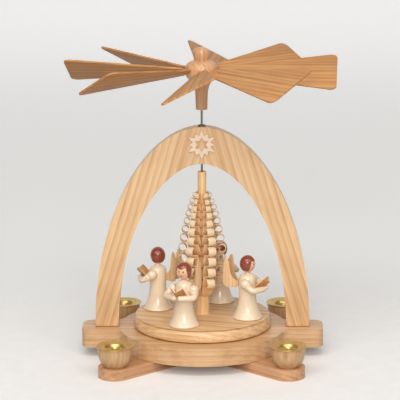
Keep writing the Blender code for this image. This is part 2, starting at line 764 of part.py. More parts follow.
def blade_mesh():
    """One wing blade along +X with its round peg."""
    half_tip = 0.5 * BLADE_TIP_WIDTH
    half_root = BLADE_ROOT_HALF
    slope = math.atan2(half_tip - half_root, BLADE_TIP_RADIUS - BLADE_ROOT_RADIUS)
    lean = math.degrees(slope)
    round_x = BLADE_TIP_RADIUS - BLADE_CORNER
    back = BLADE_CORNER * (1.0 - math.sin(slope)) / math.cos(slope)
    round_y = half_tip - back
    outline = [(BLADE_ROOT_RADIUS, -half_root)]
    outline += arc(round_x, -round_y, BLADE_CORNER, -90.0 - lean, 0.0, 3)
    outline += arc(round_x, round_y, BLADE_CORNER, 0.0, 90.0 + lean, 3)
    outline.append((BLADE_ROOT_RADIUS, half_root))
    board = plate("blade", [outline], BLADE_THICKNESS, 0.3 * MM)
    helper = bpy.data.objects.new("blade_helper", board)
    PARTS.objects.link(helper)
    peg = rod("peg", BLADE_PEG_RADIUS, BLADE_PEG_INNER, BLADE_ROOT_RADIUS + BLADE_PEG_OVERLAP, 8)
    along = Matrix.Rotation(math.radians(90.0), 4, "Y") @ Matrix.Rotation(math.radians(22.5), 4, "Z")
    tool = bpy.data.objects.new("peg_helper", moved(peg, along))
    CUTTERS.objects.link(tool)
    cut(helper, tool, "UNION")
    mesh = bake_away(helper)
    bpy.data.objects.remove(tool, do_unlink=True)
    return mesh


def blade_spot(index):
    """Frame of one blade: its peg along X, pitched so that the leading edge is high."""
    angle = WHEEL_FIRST_ANGLE + 2.0 * math.pi * index / BLADE_COUNT
    turn = Matrix.Rotation(angle, 4, "Z") @ Matrix.Rotation(BLADE_PITCH, 4, "X")
    return shift(0.0, 0.0, WHEEL_Z) @ turn


def build_wheel():
    """The turned hub and its eight blades."""
    bore = SHAFT_RADIUS + SHAFT_GAP
    knob = HUB_KNOB_RADIUS
    stem = HUB_STEM_RADIUS
    drop = HUB_BOTTOM_BELOW
    rise = HUB_TOP_ABOVE
    profile = [
        (0.0, rise),
        (0.62 * knob, 0.97 * rise),
        (0.93 * knob, 0.87 * rise),
        (knob, 0.72 * rise),
        (0.90 * knob, 0.46 * rise),
        (0.62 * HUB_RADIUS, 0.41 * rise),
        (0.90 * HUB_RADIUS, 0.30 * rise),
        (HUB_RADIUS, 0.14 * rise),
        (HUB_RADIUS, -0.12 * rise),
        (0.90 * HUB_RADIUS, -0.26 * rise),
        (0.62 * HUB_RADIUS, -0.43 * rise),
        (1.28 * stem, -0.40 * drop),
        (1.08 * stem, -0.54 * drop),
        (stem, -0.98 * drop),
        (0.93 * stem, -drop),
        (bore, -drop),
        (bore, SHAFT_TOP_Z - WHEEL_Z + SEAT_GAP),
        (0.0, SHAFT_TOP_Z - WHEEL_Z + SEAT_GAP),
    ]
    hub = turned("wheel_hub", profile, 20)
    hub = place("wheel_hub", moved(hub, shift(0.0, 0.0, WHEEL_Z)), BEECH)
    bores = []
    along = Matrix.Rotation(math.radians(90.0), 4, "Y") @ Matrix.Rotation(math.radians(22.5), 4, "Z")
    for index in range(BLADE_COUNT):
        hole = rod("hub_bore", BLADE_PEG_RADIUS + PEG_GAP, BLADE_PEG_INNER - SEAT_GAP, 2.0 * HUB_RADIUS, 8)
        bores.append(moved(hole, blade_spot(index) @ along))
    cut(hub, cutter("hub_bores", joined("hub_bores", bores)))
    blade = blade_mesh()
    for index in range(BLADE_COUNT):
        place("wing_blade_%d" % (index + 1), blade.copy(), ASH, blade_spot(index))


def body_profile(grow):
    """Outline of an angel's turned gown, grown outward by a clearance."""
    tall = BODY_HEIGHT
    body = BODY_RADIUS
    flare = SKIRT_RADIUS - BODY_RADIUS
    return [
        (0.0, tall),
        (NECK_RADIUS + grow, tall),
        (NECK_RADIUS + grow, 0.975 * tall),
        (0.72 * body + grow, 0.945 * tall),
        (0.95 * body + grow, 0.885 * tall),
        (body + grow, 0.80 * tall),
        (0.96 * body + grow, 0.55 * tall),
        (body + 0.06 * flare + grow, 0.38 * tall),
        (body + 0.40 * flare + grow, 0.17 * tall),
        (body + 0.88 * flare + grow, 0.045 * tall),
        (SKIRT_RADIUS + grow, 0.015 * tall),
        (SKIRT_RADIUS - 0.4 * MM + grow, 0.0),
    ]


def book_frame():
    """Frame of an angel's book: X across, Y towards the angel, Z up the page."""
    x_axis = (0.0, 1.0, 0.0)
    y_axis = (-math.cos(BOOK_TILT), 0.0, math.sin(BOOK_TILT))
    z_axis = (math.sin(BOOK_TILT), 0.0, math.cos(BOOK_TILT))
    room = math.sqrt((BODY_RADIUS + BOOK_CLEAR) ** 2 - (0.9 * BOOK_HALF_WIDTH) ** 2)
    forward = room + 0.5 * BOOK_LENGTH * math.sin(BOOK_TILT)
    forward += (BOOK_FOLD + BOOK_THICKNESS) * math.cos(BOOK_TILT)
    return axes((forward, 0.0, BOOK_HEIGHT_UP), x_axis, y_axis, z_axis)


def book_mesh():
    """An open book as one folded board."""
    wide = BOOK_HALF_WIDTH
    thick = BOOK_THICKNESS
    outline = [
        (0.0, 0.0),
        (wide, BOOK_FOLD),
        (wide - 0.4 * thick, BOOK_FOLD + thick),
        (0.0, 1.1 * thick),
        (-wide + 0.4 * thick, BOOK_FOLD + thick),
        (-wide, BOOK_FOLD),
    ]
    return moved(plate("book", [outline], BOOK_LENGTH), book_frame())


def swept(name, stations, sides):
    """A round bar along a bent line, from (place, radius) stations, closed to a point at both ends."""
    bm = bmesh.new()
    last = len(stations) - 1
    rows = []
    across = None
    for index, (spot, radius) in enumerate(stations):
        run = (stations[min(last, index + 1)][0] - stations[max(0, index - 1)][0]).normalized()
        if across is None:
            across = run.orthogonal()
        across = (across - run * across.dot(run)).normalized()
        upward = run.cross(across)
        row = []
        for k in range(1 if index in (0, last) else sides):
            angle = 2.0 * math.pi * k / sides
            row.append(bm.verts.new(spot + (across * math.cos(angle) + upward * math.sin(angle)) * radius))
        rows.append(row)
    for low, high in zip(rows[:-1], rows[1:]):
        for k in range(sides):
            after = (k + 1) % sides
            corners = [low[k % len(low)], low[after % len(low)], high[after % len(high)], high[k % len(high)]]
            bm.faces.new(list(dict.fromkeys(corners)))
    bmesh.ops.recalc_face_normals(bm, faces=bm.faces)
    mesh = bpy.data.meshes.new(name)
    bm.to_mesh(mesh)
    bm.free()
    return mesh


def arm_line(side):
    """An arm as (place, radius) stations: sleeve ball, cuff, bent elbow, forearm and hand under the book."""
    shoulder = Vector((SHOULDER_FORWARD, side * SHOULDER_OUT, SHOULDER_HEIGHT))
    elbow = Vector((ELBOW_FORWARD, side * ELBOW_OUT, ELBOW_HEIGHT))
    apart = ARM_HAND_RADIUS + 0.5 * HANDS_GAP
    rise = BOOK_FOLD / BOOK_HALF_WIDTH
    below = (ARM_HAND_RADIUS + HAND_CLEAR) * math.sqrt(1.0 + rise * rise) - rise * apart
    hand = book_frame() @ Vector((side * apart, -below, 0.0))
    ball = ARM_BALL_RADIUS
    palm = ARM_HAND_RADIUS
    down = (elbow - shoulder).normalized()
    inward = (hand - elbow).normalized()
    stations = []
    for along, radius in (
        (-1.0, 0.0),
        (-0.70, 0.72),
        (-0.10, 1.0),
        (0.38, 0.92),
        (0.80, 0.68),
        (0.95, 0.82),
        (1.30, 0.82),
    ):
        stations.append((shoulder + down * (along * ball), radius * ball))
    first = elbow - down * ELBOW_BEND
    second = elbow + inward * ELBOW_BEND
    for step in range(5):
        part = step / 4.0
        spot = first * (1.0 - part) ** 2 + elbow * (2.0 * part * (1.0 - part)) + second * part ** 2
        stations.append((spot, 1.15 * palm))
    stations.append((hand, palm))
    stations.append((hand + inward * (0.62 * palm), 0.75 * palm))
    stations.append((hand + inward * palm, 0.0))
    return stations


def arm_mesh(side, gown):
    """One arm, hollowed where its sleeve ball sits on the gown."""
    arm = swept("arm", arm_line(side), 8)
    helper = bpy.data.objects.new("arm_helper", arm)
    PARTS.objects.link(helper)
    cut(helper, gown)
    return bake_away(helper)


def wing_mesh(side):
    """A flat feathered wing, swept back from the middle of the angel's back."""
    out = WING_LENGTH
    rise = WING_RISE
    drop = WING_DROP
    outline = [
        (0.0, -0.90 * drop),
        (0.42 * out, -drop),
        (0.82 * out, -0.86 * drop),
        (0.97 * out, 0.0),
        (out, 0.22 * rise),
        (0.99 * out, 0.50 * rise),
        (0.95 * out, 0.78 * rise),
        (0.88 * out, 0.93 * rise),
        (0.72 * out, rise),
        (0.61 * out, 0.80 * rise),
        (0.55 * out, 0.55 * rise),
        (0.46 * out, 0.31 * rise),
        (0.26 * out, 0.15 * rise),
        (0.0, 0.06 * rise),
    ]
    board = plate("wing", [outline], WING_THICKNESS)
    u_axis = (-math.cos(WING_SPREAD), side * math.sin(WING_SPREAD), 0.0)
    v_axis = (0.0, 0.0, 1.0)
    n_axis = Vector(u_axis).cross(Vector(v_axis))
    return moved(board, axes((-WING_BACK, side * WING_APART, WING_HEIGHT_UP), u_axis, v_axis, n_axis))


def build_angels():
    """Four angels facing outward, each with a head, two arms, a book and two wings."""
    peg = [
        (ANGEL_PEG_RADIUS, 0.0),
        (ANGEL_PEG_RADIUS, -ANGEL_PEG_LENGTH + SEAT_GAP),
        (0.0, -ANGEL_PEG_LENGTH + SEAT_GAP),
    ]
    gown = cutter("gown_room", turned("gown_room", body_profile(SEAT_GAP) + [(0.0, 0.0)], 12))
    body = turned("angel_body", body_profile(0.0) + peg, 12)
    low = math.asin(min(0.9, 1.05 * NECK_RADIUS / HEAD_RADIUS))
    tall = HEAD_RADIUS * HEAD_STRETCH
    chin = tall * math.cos(low)
    ball = []
    for step in range(8):
        angle = (math.pi - low) * step / 7.0
        ball.append((HEAD_RADIUS * math.sin(angle), tall * math.cos(angle)))
    ball.append((0.0, -chin))
    head = moved(turned("angel_head", ball, 12), shift(0.0, 0.0, BODY_HEIGHT + SEAT_GAP + chin))
    book = book_mesh()
    arms = {"left": arm_mesh(1.0, gown), "right": arm_mesh(-1.0, gown)}
    wings = {"left": wing_mesh(1.0), "right": wing_mesh(-1.0)}
    for index in range(ANGEL_COUNT):
        angle = angel_angle(index)
        x = ANGEL_CIRCLE_RADIUS * math.cos(angle)
        y = ANGEL_CIRCLE_RADIUS * math.sin(angle)
        spot = shift(x, y, ANGEL_FOOT_Z) @ Matrix.Rotation(angle, 4, "Z")
        prefix = "angel_%d_" % (index + 1)
        place(prefix + "body", body.copy(), PALE_WOOD, spot)
        place(prefix + "head", head.copy(), SKIN, spot)
        place(prefix + "book", book.copy(), PAPER, spot)
        for name in ("left", "right"):
            place(prefix + "arm_" + name, arms[name].copy(), PALE_WOOD, spot)
            place(prefix + "wing_" + name, wings[name].copy(), LIME_WOOD, spot)


build_feet()
build_base()
build_arch()
build_star()
build_cups()
build_shaft()
build_turntable()
build_tree()
build_wheel()
build_angels()
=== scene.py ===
import math

import bmesh
import bpy
from mathutils import Matrix
from mathutils import Vector


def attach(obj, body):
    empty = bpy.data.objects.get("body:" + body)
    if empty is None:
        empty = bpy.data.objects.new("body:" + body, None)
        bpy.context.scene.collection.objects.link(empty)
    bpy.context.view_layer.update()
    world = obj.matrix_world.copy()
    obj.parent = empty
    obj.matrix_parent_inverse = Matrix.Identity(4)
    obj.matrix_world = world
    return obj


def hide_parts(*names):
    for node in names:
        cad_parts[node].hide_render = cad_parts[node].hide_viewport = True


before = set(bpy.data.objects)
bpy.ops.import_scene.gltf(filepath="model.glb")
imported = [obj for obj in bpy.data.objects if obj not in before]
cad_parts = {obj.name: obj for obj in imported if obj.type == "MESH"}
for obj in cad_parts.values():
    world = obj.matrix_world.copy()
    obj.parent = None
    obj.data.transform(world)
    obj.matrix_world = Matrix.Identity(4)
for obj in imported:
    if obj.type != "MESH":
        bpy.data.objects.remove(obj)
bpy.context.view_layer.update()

# Lengths are in metres. Turned profiles, and sizes said to be so, are in millimetres.
MM = 0.001
TINY = 1e-7
FULL = 2.0 * math.pi
QUARTER = math.radians(90.0)
HERE = Matrix.Identity(4)

# Levels and sizes repeated from the part.
BASE_BOTTOM = 10.3 * MM
BASE_TOP = 27.3 * MM
ARCH_FOOT = 27.6 * MM
FOOT_ANGLE = math.radians(43.5)
CUP_CIRCLE = 108.5 * MM
WHEEL_Z = 270.0 * MM
TREE_FOOT = 39.6 * MM
ANGEL_FOOT = 39.6 * MM
BORE = 1.35  # mm, radius of the bores for the shaft


def shift(x, y, z):
    return Matrix.Translation((x, y, z))


def turn(angle, axis):
    return Matrix.Rotation(angle, 4, axis)


def mix(first, last, part):
    return first + (last - first) * part


def smooth(value):
    value = min(1.0, max(0.0, value))
    return value * value * (3.0 - 2.0 * value)


def wobble(a, b, c=0.0):
    """A fixed spread between -1 and 1."""
    value = math.sin(a * 12.9898 + b * 78.233 + c * 37.719) * 43758.5453
    return 2.0 * (value - math.floor(value)) - 1.0


# Materials.

WHITE = (1.0, 1.0, 1.0, 1.0)
PORE_TINT = (0.74, 0.65, 0.56, 1.0)
CLOUD_TINT = (0.92, 0.89, 0.86, 1.0)
SHAVING_TINT = (0.94, 0.88, 0.80, 1.0)
UNSCALED = (1.0, 1.0, 1.0)

# Sockets of a Mix node that mixes colours.
MIX_FIRST = 6
MIX_SECOND = 7
MIX_RESULT = 2


def srgb(red, green, blue):
    """A colour from 0 to 255 screen values as linear light."""
    out = []
    for value in (red, green, blue):
        value = value / 255.0
        if value <= 0.04045:
            out.append(value / 12.92)
        else:
            out.append(((value + 0.055) / 1.055) ** 2.4)
    return (*out, 1.0)


def shades(*colours):
    return [srgb(*colour) for colour in colours]


def stretched(axis, amount):
    """A scale that draws a texture out along one axis."""
    return tuple(amount if name == axis else 1.0 for name in "XYZ")


class Tree:
    """A short way to write a node material."""

    def __init__(self, name):
        self.material = bpy.data.materials.new(name)
        self.material.use_nodes = True
        self.nodes = self.material.node_tree.nodes
        self.shader = self.nodes["Principled BSDF"]

    def feed(self, source, socket):
        """Set a constant on a socket, or join another socket to it."""
        if isinstance(source, (float, tuple)):
            socket.default_value = source
        else:
            self.material.node_tree.links.new(source, socket)

    def add(self, kind, inputs=(), **settings):
        """A node with its settings, its input sockets fed by name or number."""
        node = self.nodes.new(kind)
        for key, value in settings.items():
            setattr(node, key, value)
        for key, source in dict(inputs).items():
            self.feed(source, node.inputs[key])
        return node

    def maths(self, operation, *values):
        return self.add("ShaderNodeMath", enumerate(values), operation=operation).outputs[0]

    def coords(self):
        return self.add("ShaderNodeTexCoord").outputs["Object"]

    def split(self, vector):
        return self.add("ShaderNodeSeparateXYZ", {"Vector": vector}).outputs

    def scaled(self, vector, scale, spin=0.0):
        node = self.add("ShaderNodeMapping", {
            "Vector": vector, "Scale": scale, "Rotation": (0.0, 0.0, spin)})
        return node.outputs["Vector"]

    def noise(self, vector, scale, detail=3.0, rough=0.55):
        node = self.add("ShaderNodeTexNoise", {
            "Vector": vector, "Scale": scale, "Detail": detail, "Roughness": rough})
        return node.outputs["Fac"]

    def ramp(self, value, stops):
        node = self.add("ShaderNodeValToRGB", {"Fac": value})
        band = node.color_ramp
        while len(band.elements) < len(stops):
            band.elements.new(0.5)
        for element, (place, colour) in zip(band.elements, stops):
            element.position = place
            element.color = colour
        return node.outputs["Color"]

    def blend(self, amount, first, second, how="MIX"):
        node = self.add("ShaderNodeMix", {
            "Factor": amount, MIX_FIRST: first, MIX_SECOND: second},
            data_type="RGBA", blend_type=how)
        return node.outputs[MIX_RESULT]

    def span(self, value, low, high, start=0.0, end=1.0):
        """Values from start to end, brought to run from low to high."""
        node = self.add("ShaderNodeMapRange", {
            "Value": value, "From Min": start, "From Max": end, "To Min": low, "To Max": high})
        return node.outputs["Result"]

    def bump(self, height, depth, strength):
        node = self.add("ShaderNodeBump", {
            "Height": height, "Distance": depth, "Strength": strength})
        self.feed(node.outputs["Normal"], self.shader.inputs["Normal"])

    def gloss(self, rough, coat=0.0, coat_rough=0.12, metallic=0.0, specular=0.5):
        for socket, value in (("Roughness", rough), ("Coat Weight", coat),
                              ("Coat Roughness", coat_rough), ("Metallic", metallic),
                              ("Specular IOR Level", specular)):
            self.feed(value, self.shader.inputs[socket])

    def colour(self, source):
        self.feed(source, self.shader.inputs["Base Color"])


def wood(name, tones, along, across, period=5.0, lean=0.0, spin=0.0, coat=0.22, rough=0.42,
         wild=7.0, specular=0.5):
    """Open-grained varnished wood: irregular bands, streaks and fine pores along one axis.

    The tones are light, middle and dark. Bands lie period mm apart in the direction across, and
    stray by up to wild mm. A lean tips them inward on both sides. Spin turns the grain about Z.
    """
    light, middle, dark = tones
    t = Tree(name)
    vector = t.coords()
    if spin:
        vector = t.scaled(vector, UNSCALED, spin)
    if lean:
        x, y, z = t.split(vector)
        side = t.maths("MULTIPLY_ADD", z, lean, t.maths("ABSOLUTE", x))
        vector = t.add("ShaderNodeCombineXYZ", {"X": side, "Y": y, "Z": z}).outputs["Vector"]
    fibres = t.scaled(vector, stretched(along, 0.03))
    drift = t.noise(t.scaled(vector, stretched(along, 0.14)), scale=42.0, detail=2.0, rough=0.5)
    level = t.add("ShaderNodeVectorMath", {0: vector, 1: across}, operation="DOT_PRODUCT")
    strayed = t.maths("MULTIPLY_ADD", drift, wild * MM, level.outputs["Value"])
    saw = t.maths("FRACT", t.maths("MULTIPLY", strayed, 1.0 / (period * MM)))
    ring = t.ramp(saw, [(0.0, light), (0.5, middle), (0.84, dark), (1.0, light)])
    streak = t.noise(fibres, scale=0.9 / (period * MM), detail=2.0, rough=0.5)
    broad = t.ramp(streak, [(0.34, dark), (0.48, middle), (0.62, light)])
    grain = t.blend(0.52, ring, broad)
    pores = t.noise(fibres, scale=1300.0, rough=0.6)
    flecks = t.ramp(pores, [(0.32, PORE_TINT), (0.50, WHITE)])
    base = t.blend(0.6, grain, flecks, "MULTIPLY")
    cloud = t.noise(vector, scale=24.0, detail=2.0)
    tone = t.ramp(cloud, [(0.3, CLOUD_TINT), (0.7, WHITE)])
    t.colour(t.blend(0.8, base, tone, "MULTIPLY"))
    t.gloss(t.span(pores, rough + 0.10, rough - 0.06), coat=coat, specular=specular)
    t.bump(pores, depth=0.06 * MM, strength=0.3)
    return t.material


def lacquer(name, main, shade, coat=0.5, rough=0.28):
    """Pale turned wood under a clear lacquer, with faint upright streaks."""
    t = Tree(name)
    vector = t.coords()
    fibre = t.noise(t.scaled(vector, stretched("Z", 0.05)), scale=900.0)
    cloud = t.noise(vector, scale=90.0, detail=2.0)
    streaks = t.ramp(fibre, [(0.35, shade), (0.62, main)])
    t.colour(t.blend(t.span(cloud, 0.25, 0.60), main, streaks))
    t.gloss(t.span(fibre, rough + 0.06, rough - 0.04), coat=coat, coat_rough=0.08)
    t.bump(fibre, depth=0.03 * MM, strength=0.3)
    return t.material


def metal(name, main, worn, rough):
    """Polished metal with slight clouding."""
    t = Tree(name)
    cloud = t.noise(t.coords(), scale=700.0, detail=4.0)
    t.colour(t.ramp(cloud, [(0.35, worn), (0.6, main)]))
    t.gloss(t.span(cloud, rough + 0.10, rough - 0.03), metallic=1.0)
    t.bump(cloud, depth=0.01 * MM, strength=0.2)
    return t.material


def paint(name, main, shade, rough=0.25, coat=0.4, scale=300.0):
    """Brushed paint."""
    t = Tree(name)
    cloud = t.noise(t.coords(), scale)
    t.colour(t.ramp(cloud, [(0.3, shade), (0.65, main)]))
    t.gloss(t.span(cloud, rough + 0.08, rough - 0.04), coat=coat, coat_rough=0.1)
    t.bump(cloud, depth=0.03 * MM, strength=0.25)
    return t.material


def shavings(name):
    """Bare wood, thin enough to glow, with painted shade: warm near the trunk, cream on the
    outside of the curls.
    """
    t = Tree(name)
    tone = t.add("ShaderNodeAttribute", attribute_name="tone").outputs["Fac"]
    fibre = t.noise(t.scaled(t.coords(), stretched("Z", 0.25)), scale=1400.0)
    # Painted shade: orange for the shaded roots by the trunk, up to cream for the lit outside of
    # the curls.
    warm = shades((254, 200, 128), (254, 212, 148), (254, 234, 200))
    base = t.ramp(tone, list(zip((0.0, 0.45, 0.90), warm)))
    streak = t.ramp(fibre, [(0.3, SHAVING_TINT), (0.6, WHITE)])
    colour = t.blend(0.6, base, streak, "MULTIPLY")
    t.colour(colour)
    t.gloss(t.span(fibre, 0.60, 0.42))
    t.bump(fibre, depth=0.04 * MM, strength=0.3)
    glow = t.add("ShaderNodeBsdfTranslucent", {"Color": colour})
    both = t.add("ShaderNodeMixShader", {
        "Fac": 0.28, 1: t.shader.outputs["BSDF"], 2: glow.outputs["BSDF"]})
    t.feed(both.outputs["Shader"], t.nodes["Material Output"].inputs["Surface"])
    return t.material


# Light, middle and dark of each wood.
ARCH_ASH = shades((233, 199, 157), (223, 183, 136), (202, 154, 105))
BASE_ASH = shades((227, 188, 143), (217, 174, 128), (199, 150, 103))
TABLE_ASH = shades((241, 206, 159), (230, 189, 139), (209, 160, 109))
BLADE_ASH = shades((208, 158, 105), (194, 140, 88), (164, 109, 62))
FOOT_BEECH = shades((222, 175, 133), (209, 157, 113), (187, 132, 91))
HUB_BEECH = shades((220, 172, 128), (208, 158, 112), (186, 134, 92))
CUP_MAPLE = shades((214, 175, 130), (203, 161, 115), (185, 140, 95))
WING_MAPLE = shades((234, 200, 154), (225, 187, 138), (209, 165, 115))
TRUNK_LIME = shades((250, 212, 158), (246, 204, 147), (236, 190, 132))

# The direction across the bands of turned pieces, and of the feet.
TURNED = (0.8, 0.6, 0.0)
FLAT = (0.0, 0.5, 1.0)

M_ARCH = wood("ash_arch", ARCH_ASH, "Z", (1.0, 0.5, 0.0), period=6.5, lean=0.30)
M_BASE = wood("ash_base", BASE_ASH, "X", (0.0, 0.40, 1.0), period=5.4, wild=12.0)
M_TABLE = wood("ash_table", TABLE_ASH, "X", (0.0, 0.42, 1.0), spin=0.30, coat=0.16, rough=0.44,
               wild=10.0)
M_FOOT_1 = wood("beech_foot_1", FOOT_BEECH, "X", FLAT, spin=-FOOT_ANGLE)
M_FOOT_2 = wood("beech_foot_2", FOOT_BEECH, "X", FLAT, spin=FOOT_ANGLE)
M_BLADE = wood("ash_blade", BLADE_ASH, "X", (0.0, 1.0, 0.6), coat=0.0, rough=0.55,
               specular=0.25)
M_HUB = wood("beech_hub", HUB_BEECH, "Z", TURNED, period=3.6)
M_CUP = wood("maple_cup", CUP_MAPLE, "Z", TURNED, period=4.0, coat=0.3, rough=0.36)
M_TRUNK = wood("lime_trunk", TRUNK_LIME, "Z", TURNED, period=3.2)
M_WING = wood("maple_wing", WING_MAPLE, "Z", (0.9, 0.4, 0.0), period=3.4, coat=0.36, rough=0.34)
M_CURL = shavings("lime_shavings")
M_STAR = lacquer("birch_star", *shades((238, 214, 189), (224, 192, 164)), coat=0.3, rough=0.36)
M_GOWN = lacquer("gown_lacquer", *shades((238, 217, 188), (225, 199, 166)))
M_EDGE = lacquer("book_edge", *shades((248, 228, 194), (236, 208, 170)), coat=0.2, rough=0.45)
M_COVER = paint("book_cover", *shades((212, 152, 84), (184, 120, 62)),
                rough=0.34, coat=0.35, scale=260.0)
M_PAGE = paint("book_page", *shades((216, 160, 90), (188, 128, 66)),
               rough=0.4, coat=0.2, scale=420.0)
M_SKIN = paint("painted_skin", *shades((240, 190, 152), (230, 174, 136)), rough=0.3, scale=180.0)
M_HAIR = paint("painted_hair", *shades((152, 72, 44), (122, 50, 32)),
               rough=0.24, coat=0.6, scale=700.0)
M_EYE = paint("painted_eye", *shades((52, 34, 26), (36, 22, 16)))
M_LIP = paint("painted_lip", *shades((196, 84, 68), (176, 68, 56)))
M_BRASS = metal("polished_brass", (0.72, 0.52, 0.20, 1.0), (0.60, 0.41, 0.15, 1.0), 0.36)
M_BUSH = metal("dull_bronze", (0.26, 0.16, 0.08, 1.0), (0.18, 0.10, 0.05, 1.0), 0.40)
M_STEEL = metal("drawn_steel", (0.24, 0.23, 0.22, 1.0), (0.16, 0.15, 0.14, 1.0), 0.28)
M_GLASS = paint("pressed_glass", *shades((206, 216, 216), (190, 204, 206)), rough=0.12, coat=0.6)


# Shapes.

# Edges that turn by more than this many degrees stay sharp.
TURNED_SHARP = 32.0
BOARD_SHARP = 40.0
STAR_SHARP = 30.0
HEAD_SHARP = 60.0


def finished(name, bm, materials, body, nodes=(), spot=HERE, sharp=BOARD_SHARP):
    """Turn a bmesh into a piece that rides on a body and stands for its CAD nodes."""
    bmesh.ops.recalc_face_normals(bm, faces=bm.faces)
    mesh = bpy.data.meshes.new(name)
    bm.to_mesh(mesh)
    bm.free()
    mesh.shade_smooth()
    mesh.set_sharp_from_angle(angle=math.radians(sharp))
    for material in materials:
        mesh.materials.append(material)
    piece = bpy.data.objects.new(name, mesh)
    bpy.context.scene.collection.objects.link(piece)
    piece.matrix_world = spot
    bpy.context.view_layer.update()
    if nodes:
        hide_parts(*nodes)
    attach(piece, body)
    return piece


def spline(a, b, c, d, part):
    """A point between b and c on a smooth line through four points, kept right of the axis."""
    spot = []
    for p, q, r, s in zip(a, b, c, d):
        spot.append(0.5 * (2.0 * q + (r - p) * part
                           + (2.0 * p - 5.0 * q + 4.0 * r - s) * part * part
                           + (3.0 * q - p - 3.0 * r + s) * part ** 3))
    return max(0.0, spot[0]), spot[1]


def rounded(points, per=6):
    """A smooth line through (radius, height) points. A third entry marks a sharp corner."""
    runs = [[]]
    for point in points:
        runs[-1].append(point[:2])
        if len(point) > 2:
            runs.append([point[:2]])
    line = []
    for run in runs:
        last = len(run) - 1
        steps = 1 if last == 1 else per
        for i in range(last):
            near = (run[max(0, i - 1)], run[i], run[i + 1], run[min(last, i + 2)])
            line += [spline(*near, step / steps) for step in range(steps)]
        if last > 0:
            line.append(run[-1])
    out = line[:1]
    for point in line[1:]:
        if math.dist(point, out[-1]) > TINY:
            out.append(point)
    return out


def scaled_line(line):
    """A profile in metres from one in millimetres."""
    return [(radius * MM, height * MM, *corner) for radius, height, *corner in line]


def bridge(bm, low, high, sides, index=0):
    """Faces between two rings of corners. A ring of one corner closes to a point."""
    faces = []
    for k in range(sides):
        n = (k + 1) % sides
        corners = (low[k % len(low)], low[n % len(low)],
                   high[n % len(high)], high[k % len(high)])
        face = bm.faces.new(list(dict.fromkeys(corners)))
        face.material_index = index
        faces.append(face)
    return faces


def lathe_into(bm, line, steps, matrix=HERE, index=0, closed=False):
    """Turn a line of (radius, height) round Z into a bmesh."""
    rows = []
    for radius, height in line:
        row = []
        for k in range(steps if radius > TINY else 1):
            angle = FULL * k / steps
            place = Vector((radius * math.cos(angle), radius * math.sin(angle), height))
            row.append(bm.verts.new(matrix @ place))
        rows.append(row)
    pairs = list(zip(rows, rows[1:]))
    if closed:
        pairs.append((rows[-1], rows[0]))
    for low, high in pairs:
        bridge(bm, low, high, steps, index)


def lathe(name, line, steps, material, body, node, spot=HERE, per=6, closed=False):
    """A turned piece from a profile in millimetres."""
    bm = bmesh.new()
    lathe_into(bm, rounded(scaled_line(line), per), steps, closed=closed)
    finished(name, bm, [material], body, (node,), spot, TURNED_SHARP)


def board_into(bm, outline, thickness, edge, steps, matrix=HERE):
    """Fill an empty bmesh with a flat board centred on Z = 0, the edges of its faces rounded."""
    low = [bm.verts.new((x, y, -0.5 * thickness)) for x, y in outline]
    high = [bm.verts.new((x, y, 0.5 * thickness)) for x, y in outline]
    flats = (bm.faces.new(list(reversed(low))), bm.faces.new(high))
    bridge(bm, low, high, len(outline))
    rim = [side for flat in flats for side in flat.edges]
    bmesh.ops.bevel(bm, geom=rim, offset=edge, offset_type="OFFSET", segments=steps, profile=0.5,
                    affect="EDGES", clamp_overlap=True)
    bmesh.ops.transform(bm, matrix=matrix, verts=bm.verts)


def arc(x, y, radius, first, last, count):
    """Points on a circle from one angle to another, in degrees."""
    points = []
    for i in range(count + 1):
        angle = math.radians(mix(first, last, i / count))
        points.append((x + radius * math.cos(angle), y + radius * math.sin(angle)))
    return points


def subtract(piece, low, high, spin):
    """Cut a turned box out of a piece and keep the result."""
    bm = bmesh.new()
    bmesh.ops.create_cube(bm, size=1.0)
    size = [b - a for a, b in zip(low, high)]
    middle = [0.5 * (a + b) for a, b in zip(low, high)]
    place = turn(spin, "Z") @ shift(*middle) @ Matrix.Diagonal((*size, 1.0))
    bmesh.ops.transform(bm, matrix=place, verts=bm.verts)
    mesh = bpy.data.meshes.new("notch")
    bm.to_mesh(mesh)
    bm.free()
    tool = bpy.data.objects.new("notch", mesh)
    bpy.context.scene.collection.objects.link(tool)
    step = piece.modifiers.new("lap", "BOOLEAN")
    step.operation = "DIFFERENCE"
    step.solver = "EXACT"
    step.object = tool
    bpy.context.view_layer.update()
    graph = bpy.context.evaluated_depsgraph_get()
    cut = bpy.data.meshes.new_from_object(piece.evaluated_get(graph))
    piece.modifiers.clear()
    old = piece.data
    piece.data = cut
    bpy.data.meshes.remove(old)
    bpy.data.objects.remove(tool, do_unlink=True)
    cut.set_sharp_from_angle(angle=math.radians(BOARD_SHARP))


# Stand: feet, base, arch, star, cups, bush.

FOOT_HALF = 15.5 * MM
FOOT_THICK = 10.0 * MM
FOOT_EDGE = 1.6 * MM
FOOT_STEPS = 40
LAP_REACH = 60.0 * MM
LAP_BEYOND = 10.0 * MM
LAP_PLAY = 0.15 * MM
LAP_SIDE_PLAY = 0.2 * MM


